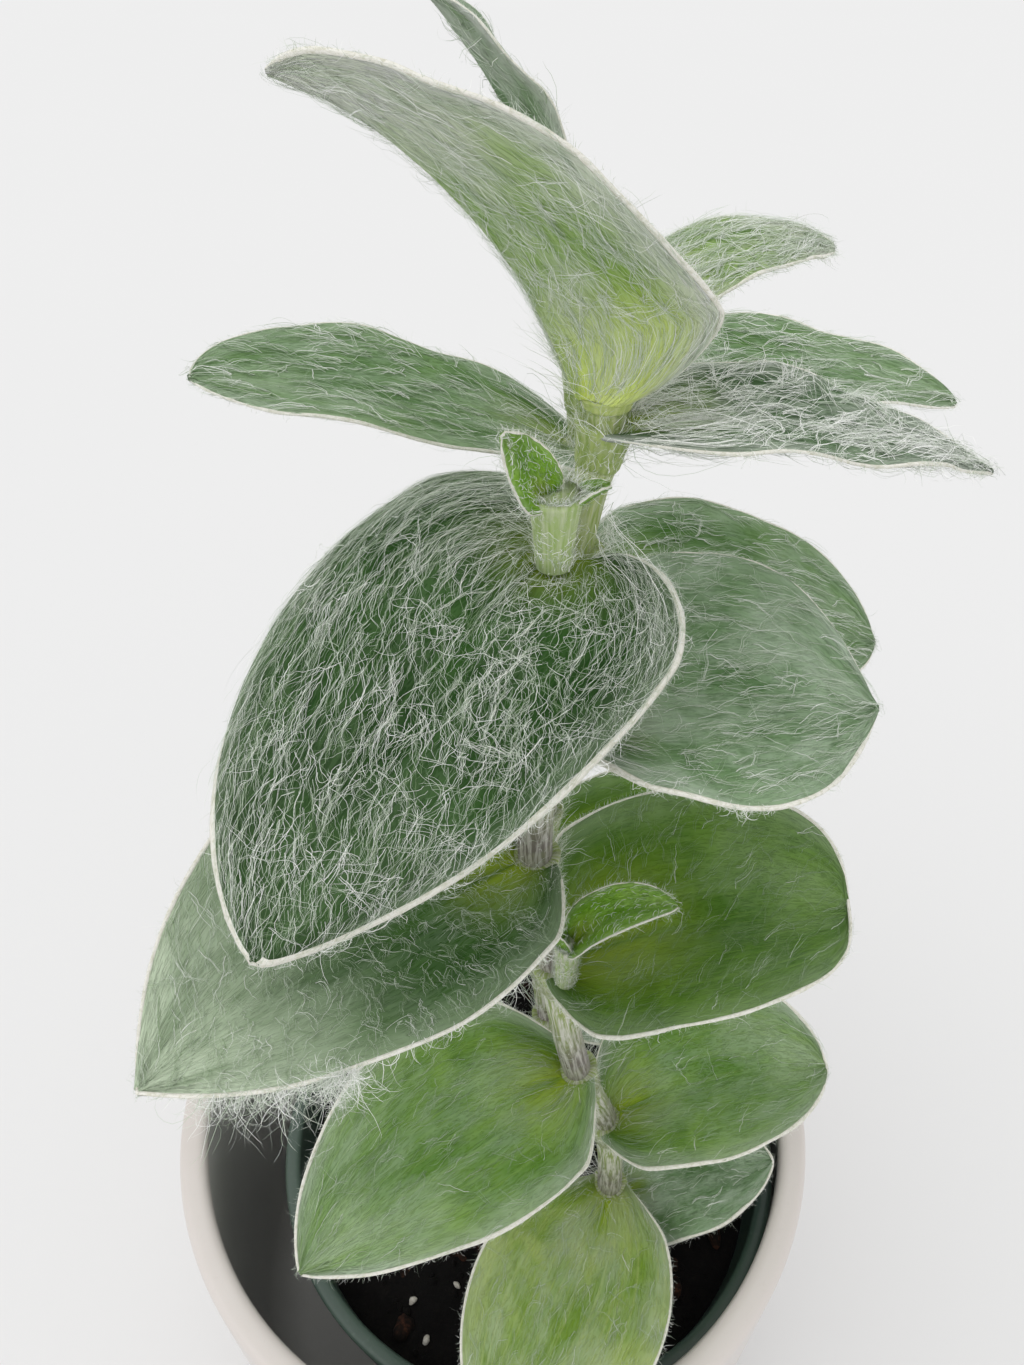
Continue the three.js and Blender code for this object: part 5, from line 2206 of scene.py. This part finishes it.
@dataclass
class Soil:
    """The potting mix: a crumbly bed with bark, crumbs, pale grains and greenish bits on it."""

    centre: Pair = NURSERY_CENTRE
    radius: float = 45.6
    foot_radius: float = 34.2
    bottom: float = 8.0
    rings: int = 52
    sides: int = 132
    seed: int = 77

    def relief(self, x: Array, y: Array) -> Array:
        """The bed's height over its level.

        Args:
            x: Places to the right of the pot's middle.
            y: Places behind it.

        Returns:
            The heights, shaped like x.
        """
        far = np.hypot(x, y) / self.radius
        soft = rolling(x * 0.22, y * 0.22, self.seed) * 1.3
        crumbs = rolling(x * 1.5, y * 1.5, self.seed + 1, 3) * 0.35
        return (soft + crumbs) * (1 - smooth((far - 0.9) / 0.1)) + 0.4

    def build(self) -> None:
        """Makes the bed and scatters what lies on it."""
        shell = Shell()
        self._add_bed(shell)
        draw = np.random.default_rng(self.seed)
        self._scatter(shell, draw, 330, (0.35, 0.9), 0.8, 0)
        self._scatter(shell, draw, 110, (1.0, 2.8), 0.45, 1)
        self._scatter(shell, draw, 36, (0.4, 1.1), 0.85, 2)
        self._scatter(shell, draw, 10, (0.5, 0.9), 0.8, 3)
        peat = GrainFinish("dark_peat", linear(3, 2, 2), linear(17, 12, 10), 420)
        bark = GrainFinish("bark_bits", linear(15, 10, 8), linear(80, 48, 32), 260, depth=0.3)
        pale = GrainFinish("pale_grains", linear(186, 180, 170), linear(226, 222, 214), 500, 0.8)
        moss = GrainFinish("greenish_bits", linear(84, 84, 44), linear(120, 116, 66), 500)
        shell.piece(
            "potting_mix", [g.material() for g in (peat, bark, pale, moss)], "soil", ("soil",)
        )

    def _add_bed(self, shell: Shell) -> None:
        """Adds the closed bed with its uneven top.

        Args:
            shell: Where it goes, as material 0.
        """
        share = np.linspace(1, 0.012, self.rings)
        turn = turns(self.sides)
        x = self.radius * share[:, None] * np.cos(turn)
        y = self.radius * share[:, None] * np.sin(turn)
        z = SOIL_LEVEL + self.relief(x, y)
        foot_x, foot_y = self.foot_radius * np.cos(turn), self.foot_radius * np.sin(turn)
        foot = np.stack([foot_x, foot_y, np.full(self.sides, self.bottom)], axis=1)
        top = np.stack([x, y, z], axis=2).reshape(-1, 3)
        points = np.concatenate([foot, top]) + np.array([*self.centre, 0])
        shell.add(points, ring_faces(self.rings + 1, self.sides), 0)
        shell.close_ring(self.rings * self.sides, self.sides, 0, False)
        shell.close_ring(0, self.sides, 0, True)

    def _scatter(
        self, shell: Shell, draw: np.random.Generator, count: int, size: Pair, flatness: float,
        finish: int,
    ) -> None:
        """Scatters knobbly bits over the bed, half sunk in it.

        Args:
            shell: Where they go.
            draw: The random numbers.
            count: How many.
            size: Smallest and largest radius.
            flatness: Their height as a share of their width.
            finish: Which material they take.
        """
        ball, faces = unit_ball()
        for k in range(count):
            turn = draw.uniform(0, 2 * math.pi)
            reach = (self.radius - size[1] - 0.8) * math.sqrt(draw.uniform())
            x, y = reach * math.cos(turn), reach * math.sin(turn)
            radius = draw.uniform(*size)
            stretch = np.array([1.0, draw.uniform(0.45, 0.9), flatness * draw.uniform(0.6, 1.1)])
            knobs = 1 + 0.22 * rolling(ball[:, 0] * 4 + 9 * k, ball[:, 1] * 4 + ball[:, 2] * 3,
                                       self.seed + k, 2)
            bit = ball * knobs[:, None] * stretch * radius
            a, b = draw.uniform(0, 2 * math.pi), draw.normal(0, 0.35)
            spin = np.array([[math.cos(a), -math.sin(a), 0], [math.sin(a), math.cos(a), 0],
                             [0, 0, 1]])
            tilt = np.array([[1, 0, 0], [0, math.cos(b), -math.sin(b)],
                             [0, math.sin(b), math.cos(b)]])
            bit = bit @ tilt.T @ spin.T
            ground = float(self.relief(np.array(x), np.array(y)))
            place = [self.centre[0] + x, self.centre[1] + y, SOIL_LEVEL + ground + radius * 0.15]
            shell.add(bit + np.array(place), faces, finish)


def unit_ball() -> tuple[Array, Array]:
    """A ball of radius one with 80 triangles.

    Returns:
        Its points and its faces.
    """
    g = (1 + 5**0.5) / 2
    corners = [(-1, g, 0), (1, g, 0), (-1, -g, 0), (1, -g, 0), (0, -1, g), (0, 1, g),
               (0, -1, -g), (0, 1, -g), (g, 0, -1), (g, 0, 1), (-g, 0, -1), (-g, 0, 1)]
    faces = [(0, 11, 5), (0, 5, 1), (0, 1, 7), (0, 7, 10), (0, 10, 11), (1, 5, 9), (5, 11, 4),
             (11, 10, 2), (10, 7, 6), (7, 1, 8), (3, 9, 4), (3, 4, 2), (3, 2, 6), (3, 6, 8),
             (3, 8, 9), (4, 9, 5), (2, 4, 11), (6, 2, 10), (8, 6, 7), (9, 8, 1)]
    points = [np.array(c, dtype=float) for c in corners]
    middles: dict[tuple[int, int], int] = {}

    def middle(a: int, b: int) -> int:
        """The point between two corners, made once.

        Args:
            a: One corner's number.
            b: The other corner's number.

        Returns:
            The point's number.
        """
        key = (min(a, b), max(a, b))
        if key not in middles:
            middles[key] = len(points)
            points.append((points[a] + points[b]) / 2)
        return middles[key]

    finer = []
    for a, b, c in faces:
        ab, bc, ca = middle(a, b), middle(b, c), middle(c, a)
        finer += [(a, ab, ca), (b, bc, ab), (c, ca, bc), (ab, bc, ca)]
    return unit(np.array(points)), np.array(finer)


@dataclass
class Studio:
    """The pale floor, the soft light and the camera."""

    floor_size: float = 8.0
    floor_tone: float = 0.77
    sky: float = 0.78
    sun: float = 1.1
    sun_angle: float = 80.0
    sun_aim: Triple = (0.3, 0.22, -1.0)
    camera_place: Triple = (3.8, -102.7, 309.0)
    camera_pitch: float = 41.7
    sensor: float = 36.0
    focal_pixels: float = 1025.0
    image_height: float = 1365.0

    def build(self) -> None:
        """Sets the stage round the plant."""
        self._floor()
        self._lights()
        self._camera()
        bpy.context.scene.view_settings.view_transform = "Standard"
        bpy.context.scene.view_settings.look = "None"

    def _floor(self) -> None:
        """Lays the plain pale floor."""
        half = self.floor_size / 2
        mesh = bpy.data.meshes.new("floor")
        mesh.from_pydata(
            [(-half, -half, 0), (half, -half, 0), (half, half, 0), (-half, half, 0)], [],
            [(0, 1, 2, 3)],
        )
        board = NodeBoard("pale_floor")
        mottle = board.noise(board.chart(Chart.SPACE), 3, 2.0)
        tone = (self.floor_tone,) * 3
        brighter = (self.floor_tone * 1.01,) * 3
        mesh.materials.append(board.finish(board.blend(mottle, tone, brighter), 1.0,
                                           Specular_IOR_Level=0.0))
        floor = bpy.data.objects.new("floor", mesh)
        bpy.context.scene.collection.objects.link(floor)

    def _lights(self) -> None:
        """Hangs the wide soft lamp and sets the even sky."""
        world = bpy.data.worlds.new("pale_sky")
        world.use_nodes = True
        background = world.node_tree.nodes["Background"]
        background.inputs["Color"].default_value = (self.sky, self.sky, self.sky, 1)
        background.inputs["Strength"].default_value = 1.0
        bpy.context.scene.world = world
        lamp = bpy.data.lights.new("window", "SUN")
        lamp.energy = self.sun
        lamp.angle = self.sun_angle * DEGREE
        holder = bpy.data.objects.new("window", lamp)
        holder.location = (-0.5, -0.4, 1.2)
        holder.rotation_euler = Vector(self.sun_aim).to_track_quat("-Z", "Y").to_euler()
        bpy.context.scene.collection.objects.link(holder)

    def _camera(self) -> None:
        """Places the camera at the photograph's viewing angle."""
        lens = bpy.data.cameras.new("view")
        lens.sensor_width = self.sensor
        lens.lens = self.sensor * self.focal_pixels / self.image_height
        lens.clip_start = 0.005
        lens.clip_end = 50.0
        camera = bpy.data.objects.new("view", lens)
        camera.location = tuple(c * MM for c in self.camera_place)
        camera.rotation_euler = ((90 - self.camera_pitch) * DEGREE, 0, 0)
        bpy.context.scene.collection.objects.link(camera)
        bpy.context.scene.camera = camera


def main() -> None:
    """Builds the plant, its pots and the studio, in order."""
    logging.basicConfig(level=logging.INFO, format="%(message)s")
    Studio().build()
    OuterPot().build()
    NurseryPot().build()
    Soil().build()
    finishes = Finishes()
    StemShoot("a", STEM_A_POINTS, LEAVES_A, 1000).build(finishes)
    StemShoot("b", STEM_B_POINTS, LEAVES_B, 3000).build(finishes)
    for sprout in SPROUTS:
        sprout.build(finishes)
    bpy.context.view_layer.update()


if __name__ == "__main__":
    main()
